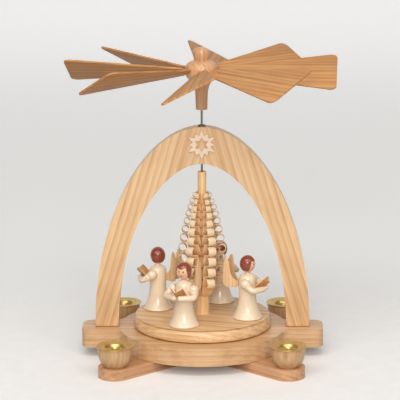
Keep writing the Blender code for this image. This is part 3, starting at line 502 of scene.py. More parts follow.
def foot_piece(number, sign, material):
    """One of the two crossed boards, half cut through in the middle to let the other pass."""
    stadium = arc(CUP_CIRCLE, 0.0, FOOT_HALF, -90.0, 90.0, FOOT_STEPS)
    stadium += arc(-CUP_CIRCLE, 0.0, FOOT_HALF, 90.0, 270.0, FOOT_STEPS)
    cos = math.cos(sign * FOOT_ANGLE)
    sin = math.sin(sign * FOOT_ANGLE)
    bm = bmesh.new()
    board_into(bm, [(cos * x - sin * y, sin * x + cos * y) for x, y in stadium],
               FOOT_THICK, FOOT_EDGE, 4)
    half = 0.5 * FOOT_THICK
    foot = finished("foot_board_%d" % number, bm, [material], "stand",
                    ("foot_beam_%d" % number,), shift(0.0, 0.0, half))
    low, high = half - LAP_PLAY, FOOT_THICK + LAP_BEYOND
    if sign < 0.0:
        low, high = -LAP_BEYOND, half + LAP_PLAY
    side = FOOT_HALF + LAP_SIDE_PLAY
    subtract(foot, (-LAP_REACH, -side, low), (LAP_REACH, side, high), -sign * FOOT_ANGLE)


foot_piece(1, 1.0, M_FOOT_1)
foot_piece(2, -1.0, M_FOOT_2)

BASE_RADIUS = 79.0 * MM
BASE_EDGE = 2.2 * MM
BASE_STEPS = 72
EAR_REACH = 113.7 * MM
EAR_HALF = 18.0 * MM
EAR_TAPER = 0.6 * MM
EAR_CORNER = 9.0 * MM
EAR_FILLET = 11.0 * MM
EAR_STEPS = 14


def base_outline():
    """A circle with an ear on each side, filleted into it."""
    reach = EAR_REACH - EAR_CORNER
    low = EAR_HALF - EAR_TAPER - EAR_CORNER
    fillet_y = EAR_HALF + EAR_FILLET
    fillet_x = math.sqrt((BASE_RADIUS + EAR_FILLET) ** 2 - fillet_y ** 2)
    lean = math.degrees(math.atan2(fillet_y, fillet_x))
    points = arc(reach, -low, EAR_CORNER, -90.0, 0.0, EAR_STEPS)
    points += arc(reach, low, EAR_CORNER, 0.0, 90.0, EAR_STEPS)
    points += arc(fillet_x, fillet_y, EAR_FILLET, 270.0, 180.0 + lean, EAR_STEPS)
    points += arc(0.0, 0.0, BASE_RADIUS, lean, 180.0 - lean, BASE_STEPS)[1:-1]
    points += arc(-fillet_x, fillet_y, EAR_FILLET, 360.0 - lean, 270.0, EAR_STEPS)
    return points + [(-x, -y) for x, y in points]


bm = bmesh.new()
board_into(bm, base_outline(), BASE_TOP - BASE_BOTTOM, BASE_EDGE, 5)
finished("base_board", bm, [M_BASE], "stand", ("base_plate",),
         shift(0.0, 0.0, 0.5 * (BASE_BOTTOM + BASE_TOP)))

# Half width, rise, power of the curve, and steps.
ARCH_OUTER = (101.0 * MM, 191.0 * MM, 1.90, 110)
ARCH_INNER = (79.0 * MM, 156.5 * MM, 1.85, 100)
ARCH_THICK = 14.0 * MM
ARCH_EDGE = 1.3 * MM


def arch_curve(half_width, rise, power, count):
    points = []
    for i in range(count + 1):
        angle = math.pi * i / count
        across = math.cos(angle)
        x = math.copysign(half_width * abs(across) ** (2.0 / power), across)
        points.append((x, rise * math.sin(angle)))
    return points


bm = bmesh.new()
board_into(bm, arch_curve(*ARCH_OUTER) + list(reversed(arch_curve(*ARCH_INNER))),
           ARCH_THICK, ARCH_EDGE, 4, shift(0.0, 0.0, ARCH_FOOT) @ turn(QUARTER, "X"))
finished("arch_board", bm, [M_ARCH], "stand", ("arch",))

# Distances in millimetres that repeat six times round the star's edge and its opening.
STAR_OUTER = (14.0, 8.44, 11.4, 8.44)
STAR_HOLE = (7.0, 5.0, 4.04, 5.0)
STAR_REPEATS = 6
STAR_HALF = 1.0 * MM
STAR_EDGE = 0.2 * MM
STAR_PLACE = (0.0, -8.3 * MM, 202.6 * MM)
STAR_FOLD = 1.0  # radians; flatter edges aren't rounded


def star_line(reaches):
    """A closed star outline, one point up."""
    points = []
    count = STAR_REPEATS * len(reaches)
    for i in range(count):
        reach = reaches[i % len(reaches)] * MM
        angle = QUARTER + FULL * i / count
        points.append((reach * math.cos(angle), reach * math.sin(angle)))
    return points


def star_piece():
    """A flat star of long and short points round a star-shaped opening."""
    bm = bmesh.new()
    rings = []
    for reaches, level in ((STAR_OUTER, -STAR_HALF), (STAR_OUTER, STAR_HALF),
                           (STAR_HOLE, STAR_HALF), (STAR_HOLE, -STAR_HALF)):
        rings.append([bm.verts.new((x, y, level)) for x, y in star_line(reaches)])
    for low, high in zip(rings, rings[1:] + rings[:1]):
        bridge(bm, low, high, len(low))
    rim = [edge for edge in bm.edges if edge.calc_face_angle() > STAR_FOLD
           and abs(edge.verts[0].co.z - edge.verts[1].co.z) < TINY]
    bmesh.ops.bevel(bm, geom=rim, offset=STAR_EDGE, segments=2, profile=0.5, affect="EDGES")
    finished("star", bm, [M_STAR], "stand", ("star_ornament",),
             shift(*STAR_PLACE) @ turn(QUARTER, "X"), STAR_SHARP)


star_piece()

CUP_LINE = [
    (0.0, 3.4), (8.4, 3.4, "c"), (8.4, 13.0, "c"), (10.3, 16.4, "c"), (14.8, 18.0),
    (15.35, 17.95), (15.6, 17.6), (15.75, 15.6), (15.6, 12.6), (14.9, 8.4), (13.4, 4.6),
    (11.6, 1.7), (10.5, 0.35), (10.0, 0.0, "c"), (4.0, 0.0, "c"), (4.0, -5.7, "c"), (0.0, -5.7)]
SLEEVE_LINE = [
    (0.0, 4.4), (7.4, 4.4, "c"), (7.4, 12.4), (7.55, 14.0), (8.1, 15.8), (8.9, 17.3),
    (9.5, 17.95), (10.1, 18.1), (10.7, 17.85), (11.2, 17.55), (12.4, 17.65), (14.6, 18.45),
    (16.2, 19.0), (16.8, 19.05), (17.15, 18.9), (17.15, 18.6), (16.8, 18.4), (15.4, 18.3),
    (13.0, 17.45), (11.2, 17.0), (10.2, 16.8), (9.4, 15.9), (8.5, 14.2), (8.1, 12.9, "c"),
    (8.1, 3.7, "c"), (0.0, 3.7)]
CUP_STEPS = 80
CUP_TWIST = 0.9  # radians from one cup to the next, so that their grain differs

for index, (side, depth) in enumerate(((-1.0, -1.0), (1.0, -1.0), (1.0, 1.0), (-1.0, 1.0))):
    x = side * CUP_CIRCLE * math.cos(FOOT_ANGLE)
    y = depth * CUP_CIRCLE * math.sin(FOOT_ANGLE)
    spot = shift(x, y, BASE_BOTTOM) @ turn(CUP_TWIST * index, "Z")
    lathe("turned_cup_%d" % (index + 1), CUP_LINE, CUP_STEPS, M_CUP, "stand",
          "candle_cup_%d" % (index + 1), spot)
    lathe("brass_sleeve_%d" % (index + 1), SLEEVE_LINE, CUP_STEPS, M_BRASS, "stand",
          "candle_sleeve_%d" % (index + 1), spot)

CROWN_TOP = 218.6  # mm
BUSH_LINE = [
    (BORE, 1.1, "c"), (3.2, 1.1), (3.55, 0.9), (3.6, 0.3, "c"), (2.5, 0.3, "c"), (2.5, -8.0, "c"),
    (BORE, -8.0, "c"), (BORE, 1.0)]
raised_line = [(radius, CROWN_TOP + height, *corner) for radius, height, *corner in BUSH_LINE]
lathe("guide_bush", raised_line, 48, M_BUSH, "stand", "crown_bush", per=4, closed=True)

# Rotor: shaft, turntable, hub.

SHAFT_LINE = [(0.0, 275.0), (1.0, 275.0, "c"), (1.0, 25.3, "c"), (0.2, 23.3, "c"), (0.0, 23.3)]
TABLE_LINE = [
    (BORE, 39.3, "c"), (58.6, 39.3), (59.8, 39.25), (61.4, 38.75), (62.8, 37.65), (63.85, 36.0),
    (64.5, 33.6), (64.8, 30.8), (64.4, 28.9), (63.7, 28.3, "c"), (BORE, 28.3, "c"), (BORE, 39.2)]
HUB_LINE = [
    (0.0, 22.0), (2.8, 21.85), (5.2, 21.0), (6.9, 19.0), (7.5, 16.2), (7.4, 13.4), (6.95, 11.2),
    (6.75, 10.2, "c"), (8.4, 9.5), (11.2, 8.3), (13.6, 6.3), (14.9, 3.6), (15.2, 0.6),
    (15.0, -2.6), (13.9, -5.5), (11.6, -8.0), (9.2, -10.4), (7.6, -13.2), (6.5, -16.6),
    (5.9, -21.0), (5.6, -27.0), (5.4, -34.7), (5.2, -35.5), (4.9, -35.8, "c"),
    (BORE, -35.8, "c"), (BORE, 5.3, "c"), (0.0, 5.3)]
lathe("steel_shaft", SHAFT_LINE, 32, M_STEEL, "rotor", "shaft")
lathe("round_table", TABLE_LINE, 160, M_TABLE, "rotor", "turntable", closed=True)
lathe("turned_hub", HUB_LINE, 80, M_HUB, "rotor", "wheel_hub", shift(0.0, 0.0, WHEEL_Z))

# Wing blades, each in its own frame with the peg along X.

BLADES = 8
FIRST_BLADE = math.radians(265.7)
BLADE_PITCH = math.radians(27.0)
BLADE_THICK = 1.7 * MM
BLADE_EDGE = 0.45 * MM
BLADE_ROOT = 16.8 * MM
ROOT_HALF = 6.4 * MM
ROOT_CUT_X = 0.9 * MM
ROOT_CUT_Y = 0.6 * MM
BLADE_TIP = 124.5 * MM
TIP_HALF = 26.0 * MM
TIP_ROUND = 5.0 * MM
TIP_STEPS = 10
PEG_LINE = [(0.0, 6.0), (1.6, 6.0), (1.9, 6.3), (1.9, 21.9), (1.4, 23.1), (0.0, 23.3)]


def blade_outline():
    """Narrow at the root, wide at the tip, with rounded corners there."""
    slope = math.atan2(TIP_HALF - ROOT_HALF, BLADE_TIP - BLADE_ROOT)
    lean = math.degrees(slope)
    round_y = TIP_HALF - TIP_ROUND * (1.0 - math.sin(slope)) / math.cos(slope)
    points = [(BLADE_ROOT, -ROOT_HALF + ROOT_CUT_Y), (BLADE_ROOT + ROOT_CUT_X, -ROOT_HALF)]
    points += arc(BLADE_TIP - TIP_ROUND, -round_y, TIP_ROUND, -90.0 - lean, 0.0, TIP_STEPS)
    points += arc(BLADE_TIP - TIP_ROUND, round_y, TIP_ROUND, 0.0, 90.0 + lean, TIP_STEPS)
    points += [(BLADE_ROOT + ROOT_CUT_X, ROOT_HALF), (BLADE_ROOT, ROOT_HALF - ROOT_CUT_Y)]
    return points


for index in range(BLADES):
    angle = FIRST_BLADE + FULL * index / BLADES
    bm = bmesh.new()
    board_into(bm, blade_outline(), BLADE_THICK, BLADE_EDGE, 3)
    lathe_into(bm, scaled_line(PEG_LINE), 32, turn(QUARTER, "Y"))
    spot = shift(0.0, 0.0, WHEEL_Z) @ turn(angle, "Z") @ turn(BLADE_PITCH, "X")
    finished("blade_%d" % (index + 1), bm, [M_BLADE], "blade_%d" % (index + 1),
             ("wing_blade_%d" % (index + 1),), spot)

# Tree: a bored stick and its curls, in millimetres.

TIERS = 11
COLUMNS = 6
TREE_TALL = 135.2
TOP_TIER = 114.0
TOP_PITCH, LOW_PITCH = 5.8, 10.6
TOP_REACH, WIDE_REACH, LOW_REACH = 8.9, 22.6, 20.0
TOP_WIDTH, LOW_WIDTH = 4.4, 8.3
WIDEST = 0.7  # how far down the tree its curls reach furthest
RING_GAP = 0.5

TRUNK_FOOT = 6.6
TRUNK_LOW, TRUNK_TOP = 5.2, 4.0
TRUNK_TAPER = 1.15
STEM_BELOW = 8.0  # from the lowest curls' centres down to the thicker foot

FIRST_COLUMN = math.radians(237.0)
COLUMN_STRAY = math.radians(1.3)
ROOT_DROP, LAST_ROOT_DROP = 4.0, 2.9  # in ring radii
ROOT_DEPTH = 0.5
LEAF_STEPS = 8
LEAF_SWELL = 0.34
LEAF_END = 11.0  # steps
LAST_ROOT_WIDTH = 0.55
LAST_ROOT_END = 4.0  # steps
ROLL_STEPS = 28
ROLL_START = 236.0  # degrees
ROLL_SWEEP, ROLL_STRAY = 296.0, 14.0  # degrees
ROLL_SHRINK = 0.20
SHRINK_START = 0.55
THICK_ROOT, THICK_END = 0.19, 0.13
RING_STRAY = 0.03
HEIGHT_STRAY = 0.15
END_TAPER = 0.10
HOLLOW = 0.13
RIPPLE = 0.10
# Painted light: shavings are paler away from the trunk, at their edges and on their outer face.
PAINTED_DEPTH_SHADE, PAINTED_RIM_HIGHLIGHT, PAINTED_OUTSIDE_LIGHT = 1.05, 0.20, 0.08
LANES = (-1.0, -0.55, 0.0, 0.55, 1.0)
SECTION = [(lane, -1.0) for lane in LANES] + [(lane, 1.0) for lane in reversed(LANES)]
LANE_ROOM = 0.985 * math.tan(math.pi / COLUMNS)


def tier_pitch(index):
    return mix(TOP_PITCH, LOW_PITCH, smooth(index / (TIERS - 2.0)))


def tier_sizes(index):
    """Height, ring radius, reach and width of a tier, counted from the top."""
    height = TOP_TIER - sum(tier_pitch(step) for step in range(index))
    ring = 0.5 * (tier_pitch(index) - RING_GAP)
    part = index / (TIERS - 1.0)
    if part < WIDEST:
        reach = mix(TOP_REACH, WIDE_REACH, (part / WIDEST) ** 0.85)
    else:
        reach = mix(WIDE_REACH, LOW_REACH, ((part - WIDEST) / (1.0 - WIDEST)) ** 2)
    width = mix(TOP_WIDTH, LOW_WIDTH, smooth(part / WIDEST))
    return height, ring, reach, width


STEM_TOP = tier_sizes(TIERS - 1)[0] - STEM_BELOW


def core_radius(height):
    if height < STEM_TOP:
        return TRUNK_FOOT
    part = (height - STEM_TOP) / (TREE_TALL - STEM_TOP)
    return mix(TRUNK_LOW, TRUNK_TOP, min(1.0, TRUNK_TAPER * part))


def curl_path(index, vary, height, ring, reach):
    """(distance, level) along a shaving: up out of the trunk, then rolled over on itself."""
    middle = reach - ring
    foot = height - (ROOT_DROP if index < TIERS - 1 else LAST_ROOT_DROP) * ring
    start = core_radius(foot) - ROOT_DEPTH
    first = math.radians(ROLL_START)
    lead_far = middle + ring * math.cos(first)
    lead_level = height + ring * math.sin(first)
    path = []
    for step in range(LEAF_STEPS):
        part = step / LEAF_STEPS
        path.append((mix(start, lead_far, part ** 0.50), mix(foot, lead_level, part ** 1.25)))
    sweep = ROLL_SWEEP + ROLL_STRAY * vary
    for step in range(ROLL_STEPS + 1):
        part = step / ROLL_STEPS
        bend = math.radians(ROLL_START + sweep * part)
        size = ring * (1.0 - ROLL_SHRINK * smooth((part - SHRINK_START) / (1.0 - SHRINK_START)))
        path.append((middle + size * math.cos(bend), height + size * math.sin(bend)))
    return path


def one_curl(bm, tone, index, column):
    """One shaving, as wide as a leaf at first, and hollow across its width."""
    height, ring, reach, width = tier_sizes(index)
    vary = wobble(index, column)
    ring *= 1.0 - RING_STRAY * (1.0 - wobble(index, column, 1.0))
    height += HEIGHT_STRAY * vary
    angle = FIRST_COLUMN + FULL * column / COLUMNS + COLUMN_STRAY * wobble(index, column, 2.0)
    outward = Vector((math.cos(angle), math.sin(angle), 0.0))
    across = Vector((-math.sin(angle), math.cos(angle), 0.0))
    upward = Vector((0.0, 0.0, 1.0))
    path = curl_path(index, vary, height, ring, reach)
    start = path[0][0]
    last = len(path) - 1
    rows = []
    for step, (far, level) in enumerate(path):
        back = path[max(0, step - 1)]
        ahead = path[min(last, step + 1)]
        run = Vector((ahead[0] - back[0], ahead[1] - back[1])).normalized()
        part = step / last
        leaf = 1.0 + LEAF_SWELL * math.sin(math.pi * min(1.0, step / LEAF_END))
        if index == TIERS - 1:
            leaf *= mix(LAST_ROOT_WIDTH, 1.0, smooth(step / LAST_ROOT_END))
        spread = min(0.5 * width * leaf * (1.0 - END_TAPER * part), max(far, start) * LANE_ROOM)
        thick = mix(THICK_ROOT, THICK_END, part)
        hollow = HOLLOW * spread * smooth(4.0 * part)
        deep = (far - start) / max(1.0, reach - start)
        row = []
        for lane, top in SECTION:
            ripple = RIPPLE * math.sin(7.0 * part + 2.0 * vary + lane)
            rise = thick * top + hollow * lane * lane
            place = outward * (far - run.y * rise) + across * (lane * (spread + ripple))
            place += upward * (level + run.x * rise)
            vert = bm.verts.new(place * MM)
            # Painted shade and highlight: darker near the trunk and on the inner face, paler at
            # the edges.
            pale = PAINTED_DEPTH_SHADE * deep + PAINTED_RIM_HIGHLIGHT * lane ** 4
            if top < 0.0:
                pale += PAINTED_OUTSIDE_LIGHT
            vert[tone] = min(1.0, max(0.0, pale))
            row.append(vert)
        rows.append(row)
    for low, high in zip(rows, rows[1:]):
        bridge(bm, low, high, len(SECTION))
    bm.faces.new(list(reversed(rows[0])))
    bm.faces.new(rows[-1])


def tree_piece():
    bm = bmesh.new()
    # The tone layer holds the painted shade and highlight of the shavings.
    tone = bm.verts.layers.float.new("tone")
    waist = STEM_TOP + 40.0
    line = [
        (BORE, 0.0, "c"), (6.4, 0.0), (TRUNK_FOOT, 0.3), (TRUNK_FOOT, STEM_TOP - 3.0),
        (6.5, STEM_TOP - 1.0), (5.4, STEM_TOP + 1.5, "c"), (core_radius(waist), waist),
        (4.05, 116.0), (TRUNK_TOP, TREE_TALL - 0.6), (3.7, TREE_TALL, "c"),
        (BORE, TREE_TALL, "c"), (BORE, 0.2)]
    lathe_into(bm, rounded(scaled_line(line)), 48, index=1, closed=True)
    for index in range(TIERS):
        for column in range(COLUMNS):
            one_curl(bm, tone, index, column)
    finished("shaved_tree", bm, [M_CURL, M_TRUNK], "rotor", ("tree",), shift(0.0, 0.0, TREE_FOOT))


tree_piece()

# Angels, each in its own frame: X forward, Y to its left, Z up.

ANGELS = 4
FIRST_ANGEL = math.radians(69.0)
ANGEL_CIRCLE = 45.5 * MM
BODY_LINE = [
    (0.0, 43.8), (2.6, 43.8, "c"), (2.6, 42.9), (3.6, 42.2), (5.5, 41.5), (7.15, 39.9),
    (8.0, 37.5), (8.3, 34.6), (8.15, 30.0), (7.95, 24.4), (8.2, 19.0), (9.1, 12.9), (10.7, 7.4),
    (12.6, 3.1), (13.7, 1.3), (14.0, 0.7), (13.85, 0.15), (13.4, 0.0, "c"), (2.0, 0.0, "c"),
    (2.0, -3.7, "c"), (0.0, -3.7)]

NECK = 2.6  # mm
HEAD_MM = 7.1
HEAD_R = HEAD_MM * MM
HEAD_LONG = 1.14
HEAD_LOW = math.asin(1.05 * NECK / HEAD_MM)
HEAD_Z = 44.1 * MM + HEAD_R * HEAD_LONG * math.cos(HEAD_LOW)
HEAD_COLUMNS = 72
HEAD_ROWS = 48
# The hair's edge, in degrees.
HAIR_LINE = 24.0
HAIR_WAVE = 5.0
HAIR_TEMPLE = 36.0
HAIR_NAPE = -50.0
HAIR_BLUR = 7.0
NOSE_TILT = math.radians(-8.0)
NOSE_WIDE = 0.16
NOSE_OUT = 0.55 * MM
MARK_DEEP = 0.16 * MM
# Heading and elevation in degrees, half width and half height in mm, and material of each mark.
MARKS = ((17.0, 3.0, 0.62, 0.78, 0), (-17.0, 3.0, 0.62, 0.78, 0), (0.0, -27.0, 1.25, 0.42, 1))


def hair_amount(direction):
    """1 where the painted hair is, 0 on the face and neck."""
    x, y, z = direction
    elevation = math.degrees(math.asin(max(-1.0, min(1.0, z))))
    heading = math.degrees(math.atan2(y, x))
    line = HAIR_LINE - HAIR_WAVE * math.cos(math.radians(4.0 * heading))
    line -= 3.2 * max(0.0, abs(heading) - HAIR_TEMPLE)
    return smooth((elevation - max(line, HAIR_NAPE)) / HAIR_BLUR + 0.5)


def head_piece(prefix, spot):
    bm = bmesh.new()
    grid = []
    for j in range(HEAD_ROWS + 1):
        polar = (math.pi - HEAD_LOW) * j / HEAD_ROWS
        row = []
        for k in range(HEAD_COLUMNS if j > 0 else 1):
            heading = FULL * k / HEAD_COLUMNS
            direction = Vector((math.sin(polar) * math.cos(heading),
                                math.sin(polar) * math.sin(heading), math.cos(polar)))
            lock = math.sin(26.0 * heading + 3.0 * direction.z) * math.sin(polar)
            raised = hair_amount(direction) * (0.026 + 0.006 * lock)
            row.append(bm.verts.new(direction * HEAD_R * (1.0 + raised)))
        grid.append(row)
    for high, low in zip(grid, grid[1:]):
        for face in bridge(bm, low, high, HEAD_COLUMNS):
            centre = face.calc_center_median().normalized()
            face.material_index = 1 if hair_amount(centre) > 0.5 else 0
    bm.faces.new(list(reversed(grid[-1])))
    nose = Vector((math.cos(NOSE_TILT), 0.0, math.sin(NOSE_TILT)))
    for vert in bm.verts:
        near = (vert.co.normalized() - nose).length
        vert.co += nose * (NOSE_OUT * smooth(1.0 - near / NOSE_WIDE))
    longer = Matrix.Diagonal((1.0, 1.0, HEAD_LONG, 1.0))
    bmesh.ops.transform(bm, matrix=longer, verts=bm.verts)
    place = spot @ shift(0.0, 0.0, HEAD_Z)
    finished(prefix + "painted_head", bm, [M_SKIN, M_HAIR], "rotor", (prefix + "head",), place,
             HEAD_SHARP)
    bm = bmesh.new()
    for heading, elevation, wide, tall, index in MARKS:
        ball = bmesh.ops.create_uvsphere(bm, u_segments=16, v_segments=10, radius=1.0)
        aim = turn(math.radians(heading), "Z") @ turn(math.radians(-elevation), "Y")
        size = Matrix.Diagonal((MARK_DEEP, wide * MM, tall * MM, 1.0))
        bmesh.ops.transform(bm, matrix=longer @ aim @ shift(HEAD_R, 0.0, 0.0) @ size,
                            verts=ball["verts"])
        for face in {face for vert in ball["verts"] for face in vert.link_faces}:
            face.material_index = index
    finished(prefix + "painted_face", bm, [M_EYE, M_LIP], "rotor", (), place, HEAD_SHARP)


# Radius and distance along the arm, from the shoulder and from the wrist.
SLEEVE_BALL = [
    (0.0, -4.7), (1.9, -4.3), (3.5, -3.1), (4.55, -1.1), (4.7, 0.5), (4.4, 2.1), (3.6, 3.3),
    (3.15, 3.8, "c"), (3.6, 4.1), (3.85, 4.7), (3.85, 5.4), (3.6, 5.95), (3.0, 6.1)]
FINGERS = [(2.5, 0.0), (2.35, 0.8), (1.9, 1.6), (1.1, 2.3), (0.0, 2.5)]
ELBOW_BEND = 5.0
ELBOW_STEPS = 12
ELBOW_R = 2.88
FOREARM_R = 2.72
ARM_SIDES = 36
# The arms keep out of the gown, a post of this radius below this level.
GOWN_CLEAR = 8.5 * MM
GOWN_CLEAR_TOP = 41.0 * MM


def swept_into(bm, stations, sides):
    """A round bar along a bent line of (place, radius), closed to a point at both ends."""
    last = len(stations) - 1
    rows = []
    across = None
    for index, (spot, radius) in enumerate(stations):
        run = stations[min(last, index + 1)][0] - stations[max(0, index - 1)][0]
        run.normalize()
        if across is None:
            across = run.orthogonal()
        across = (across - run * across.dot(run)).normalized()
        upward = run.cross(across)
        row = []
        for k in range(1 if index in (0, last) else sides):
            angle = FULL * k / sides
            place = spot + (across * math.cos(angle) + upward * math.sin(angle)) * radius
            row.append(bm.verts.new(place * MM))
        rows.append(row)
    for low, high in zip(rows, rows[1:]):
        bridge(bm, low, high, sides)


def arm_piece(prefix, name, side, spot):
    """Sleeve ball, cuff, bent elbow and forearm, hollowed where it sits on the gown."""
    shoulder = Vector((1.5, side * 10.2, 34.5))
    elbow = Vector((10.0, side * 15.0, 29.2))
    hand = Vector((17.28, side * 3.0, 29.62))
    down = (elbow - shoulder).normalized()
    inward = (hand - elbow).normalized()
    stations = [(shoulder + down * along, radius) for radius, along in rounded(SLEEVE_BALL, 5)]
    first = elbow - down * ELBOW_BEND
    second = elbow + inward * ELBOW_BEND
    for step in range(1, ELBOW_STEPS + 1):
        part = step / ELBOW_STEPS
        bend = first * (1.0 - part) ** 2 + elbow * (2.0 * part * (1.0 - part)) + second * part ** 2
        stations.append((bend, ELBOW_R))
    stations.append((0.5 * (second + hand), FOREARM_R))
    stations += [(hand + inward * along, radius) for radius, along in rounded(FINGERS, 3)]
    bm = bmesh.new()
    swept_into(bm, stations, ARM_SIDES)
    for vert in bm.verts:
        flat = math.hypot(vert.co.x, vert.co.y)
        if flat < GOWN_CLEAR and vert.co.z < GOWN_CLEAR_TOP:
            vert.co.x *= GOWN_CLEAR / flat
            vert.co.y *= GOWN_CLEAR / flat
    finished(prefix + "sleeve_" + name, bm, [M_GOWN], "rotor", (prefix + "arm_" + name,), spot)


BOOK_TILT = math.radians(47.0)
BOOK_FRAME = shift(16.37 * MM, 0.0, 30.6 * MM) @ Matrix((
    (0.0, -math.cos(BOOK_TILT), math.sin(BOOK_TILT), 0.0),
    (1.0, 0.0, 0.0, 0.0),
    (0.0, math.sin(BOOK_TILT), math.cos(BOOK_TILT), 0.0),
    (0.0, 0.0, 0.0, 1.0)))
# In millimetres: one side's width, the rise of its outer edge, and half the book's height.
BOOK_WIDE = 6.4
BOOK_FOLD = 5.0
BOOK_TALL = 7.5
BOOK_STEPS = 12
PAGE_TOP = 2
# Material, inset, level and thickness of the cover and of the pages on it.
BOOK_LAYERS = ((0, 0.0, 0.0, 0.45), (1, 0.45, 0.47, 0.8))


def page_swell(part):
    """How much the pages bulge, and how they sink into the fold."""
    swell = 0.42 * math.sin(math.pi * min(1.0, 1.25 * part)) - 0.35 * part
    return swell if part > 0.0 else swell - 0.35


def book_piece(prefix, spot):
    """Two covers and two swelling blocks of pages."""
    bm = bmesh.new()
    for side in (-1.0, 1.0):
        for index, inset, base, thick in BOOK_LAYERS:
            rows = []
            for k in range(BOOK_STEPS + 1):
                part = k / BOOK_STEPS
                x = side * (0.06 + part * (BOOK_WIDE - 0.1 - inset))
                y = BOOK_FOLD * part + base
                top = y + thick + (page_swell(part) if index else 0.0)
                tall = BOOK_TALL - inset
                corners = ((y, -tall), (top, -tall), (top, tall), (y, tall))
                rows.append([bm.verts.new((x * MM, rise * MM, level * MM))
                             for rise, level in corners])
            for first, second in zip(rows, rows[1:]):
                faces = bridge(bm, first, second, len(first), index)
                if index:
                    faces[1].material_index = PAGE_TOP
            for end in (rows[0], rows[-1]):
                bm.faces.new(end).material_index = index
    finished(prefix + "song_book", bm, [M_COVER, M_EDGE, M_PAGE], "rotor", (prefix + "book",),
             spot @ BOOK_FRAME)


WING_LINE = [
    (0.0, -3.8), (6.0, -4.2), (11.7, -3.6), (13.9, 0.0), (14.3, 5.5), (14.2, 12.5), (13.6, 19.5),
    (12.6, 23.3), (10.3, 25.0), (8.7, 20.0), (7.9, 13.8), (6.6, 7.8), (3.7, 3.8), (0.0, 1.5)]
WING_SHARP = (0, 8, 13)  # the points at the angel's back and at the wing's tip
WING_STEPS = 7
WING_SPREAD = math.radians(28.0)
WING_THICK = 1.5 * MM
WING_EDGE = 0.35 * MM
WING_BACK = -(8.3 + 0.3 + 0.75 * math.sin(WING_SPREAD)) * MM
WING_SIDE = 1.5 * MM
WING_LEVEL = 33.0 * MM


def wing_outline():
    """The wing's edge, drawn smooth except at its tip and at the angel's back."""
    count = len(WING_LINE)
    line = []
    for i in range(count):
        b = WING_LINE[i]
        c = WING_LINE[(i + 1) % count]
        a = b if i in WING_SHARP else WING_LINE[i - 1]
        d = c if (i + 1) % count in WING_SHARP else WING_LINE[(i + 2) % count]
        steps = 1 if i == count - 1 else WING_STEPS
        line += [spline(a, b, c, d, step / steps) for step in range(steps)]
    return scaled_line(line)


def wing_piece(prefix, name, side, spot):
    u_axis = Vector((-math.cos(WING_SPREAD), side * math.sin(WING_SPREAD), 0.0))
    v_axis = Vector((0.0, 0.0, 1.0))
    axes = Matrix((u_axis, v_axis, u_axis.cross(v_axis))).transposed().to_4x4()
    bm = bmesh.new()
    board_into(bm, wing_outline(), WING_THICK, WING_EDGE, 2,
               shift(WING_BACK, side * WING_SIDE, WING_LEVEL) @ axes)
    finished(prefix + "feather_" + name, bm, [M_WING], "rotor", (prefix + "wing_" + name,), spot)


for index in range(ANGELS):
    angle = FIRST_ANGEL + FULL * index / ANGELS
    x = ANGEL_CIRCLE * math.cos(angle)
    y = ANGEL_CIRCLE * math.sin(angle)
    spot = shift(x, y, ANGEL_FOOT) @ turn(angle, "Z")
    prefix = "angel_%d_" % (index + 1)
    lathe(prefix + "gown", BODY_LINE, 72, M_GOWN, "rotor", prefix + "body", spot)
    head_piece(prefix, spot)
    book_piece(prefix, spot)
    for name, side in (("left", 1.0), ("right", -1.0)):
        arm_piece(prefix, name, side, spot)
        wing_piece(prefix, name, side, spot)

# The hidden pieces keep their CAD shape.

for node, material in (("arch_dowel_left", M_FOOT_1), ("arch_dowel_right", M_FOOT_1),
                       ("bearing_cup", M_GLASS)):
    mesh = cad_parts[node].data
    mesh.materials.clear()
    mesh.materials.append(material)

# Floor, light and camera.

scene = bpy.context.scene
scene.view_settings.view_transform = "Standard"

FLOOR_SIDE = 6.0
FLOOR_NEAR = -6.0
FLOOR_FAR = 1.6
WALL_ROUND = 0.9
WALL_TOP = 5.0
WALL_STEPS = 12
FLOOR_PALE = shades((234, 233, 231), (239, 238, 236))
FLOOR_THROWN = srgb(196, 195, 193)
FLOOR_GLOW = srgb(255, 255, 254)
GLOW_NEAR, GLOW_FAR = 0.04, 0.52
GLOW_START, GLOW_END = -0.3, 2.0


def floor_material():
    """Pale to the camera, in metal and through glass, with a glow that evens out its depth.

    Other rays meet a darker tone, so that the floor throws less light up at the part.
    """
    t = Tree("pale_floor")
    vector = t.coords()
    grit = t.noise(vector, scale=60.0, detail=4.0)
    pale = t.ramp(grit, list(zip((0.3, 0.7), FLOOR_PALE)))
    path = t.add("ShaderNodeLightPath").outputs
    seen = path["Is Camera Ray"]
    for ray in ("Is Glossy Ray", "Is Transmission Ray"):
        seen = t.maths("MAXIMUM", seen, path[ray])
    t.colour(t.blend(seen, FLOOR_THROWN, pale))
    glow = t.span(t.split(vector)["Y"], GLOW_NEAR, GLOW_FAR, GLOW_START, GLOW_END)
    t.feed(t.maths("MULTIPLY", seen, glow), t.shader.inputs["Emission Strength"])
    t.feed(FLOOR_GLOW, t.shader.inputs["Emission Color"])
    t.gloss(0.75)
    return t.material


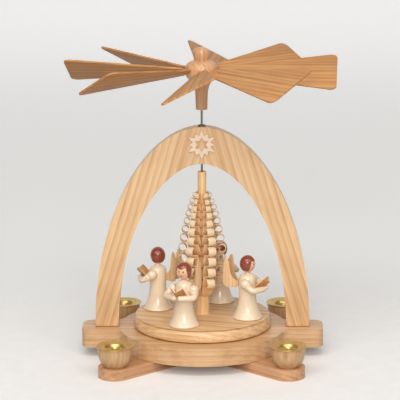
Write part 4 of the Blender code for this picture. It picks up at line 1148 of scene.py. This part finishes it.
bm = bmesh.new()
depth_line = [(FLOOR_NEAR, 0.0), (FLOOR_FAR, 0.0)]
depth_line += arc(FLOOR_FAR, WALL_ROUND, WALL_ROUND, -90.0, 0.0, WALL_STEPS)[1:]
depth_line.append((FLOOR_FAR + WALL_ROUND, WALL_TOP))
rows = [[bm.verts.new((x, y, z)) for x in (-FLOOR_SIDE, FLOOR_SIDE)] for y, z in depth_line]
for first, second in zip(rows, rows[1:]):
    bm.faces.new((first[0], first[1], second[1], second[0]))
mesh = bpy.data.meshes.new("studio_floor")
bm.to_mesh(mesh)
bm.free()
mesh.shade_smooth()
mesh.materials.append(floor_material())
floor = bpy.data.objects.new("studio_floor", mesh)
scene.collection.objects.link(floor)


def lamp(name, place, aim_z, size, power, colour):
    """A rectangular lamp that points at a level on the shaft's axis."""
    light = bpy.data.lights.new(name, "AREA")
    light.shape = "RECTANGLE"
    light.size, light.size_y = size
    light.energy = power
    light.color = colour
    made = bpy.data.objects.new(name, light)
    made.location = place
    aim = Vector((0.0, 0.0, aim_z)) - Vector(place)
    made.rotation_euler = aim.to_track_quat("-Z", "Y").to_euler()
    scene.collection.objects.link(made)


WARM = (1.0, 0.98, 0.95)
lamp("key", (-0.80, -1.18, 1.38), 0.14, (1.0, 1.0), 9.8, WARM)
lamp("fill", (0.90, -1.13, 1.32), 0.14, (0.9, 0.9), 6.9, (1.0, 0.97, 0.93))
lamp("front", (0.05, -1.68, 0.75), 0.14, (0.7, 0.5), 13.2, WARM)
lamp("high", (0.0, -0.98, 1.42), 0.1, (0.7, 0.6), 5.9, WARM)
lamp("top", (0.0, 0.25, 1.5), 0.2, (0.8, 0.8), 2.8, (1.0, 1.0, 1.0))

world = bpy.data.worlds.new("studio")
scene.world = world
world.use_nodes = True
sky = world.node_tree.nodes["Background"]
sky.inputs["Color"].default_value = (0.95, 0.95, 0.96, 1.0)
sky.inputs["Strength"].default_value = 0.20

CAMERA_PLACE = (0.0263, -1.6998, 0.520)
CAMERA_HEADING = math.radians(0.95)
CAMERA_DOWN = math.radians(12.33)
CAMERA_ROLL = math.radians(-0.267)

camera = bpy.data.cameras.new("photo_view")
camera.sensor_width = 36.0
camera.lens = 167.7
camera.clip_start = 0.05
camera.clip_end = 60.0
view = bpy.data.objects.new("photo_view", camera)
look = turn(CAMERA_HEADING, "Z") @ turn(QUARTER - CAMERA_DOWN, "X") @ turn(CAMERA_ROLL, "Z")
view.matrix_world = shift(*CAMERA_PLACE) @ look
scene.collection.objects.link(view)
scene.camera = view
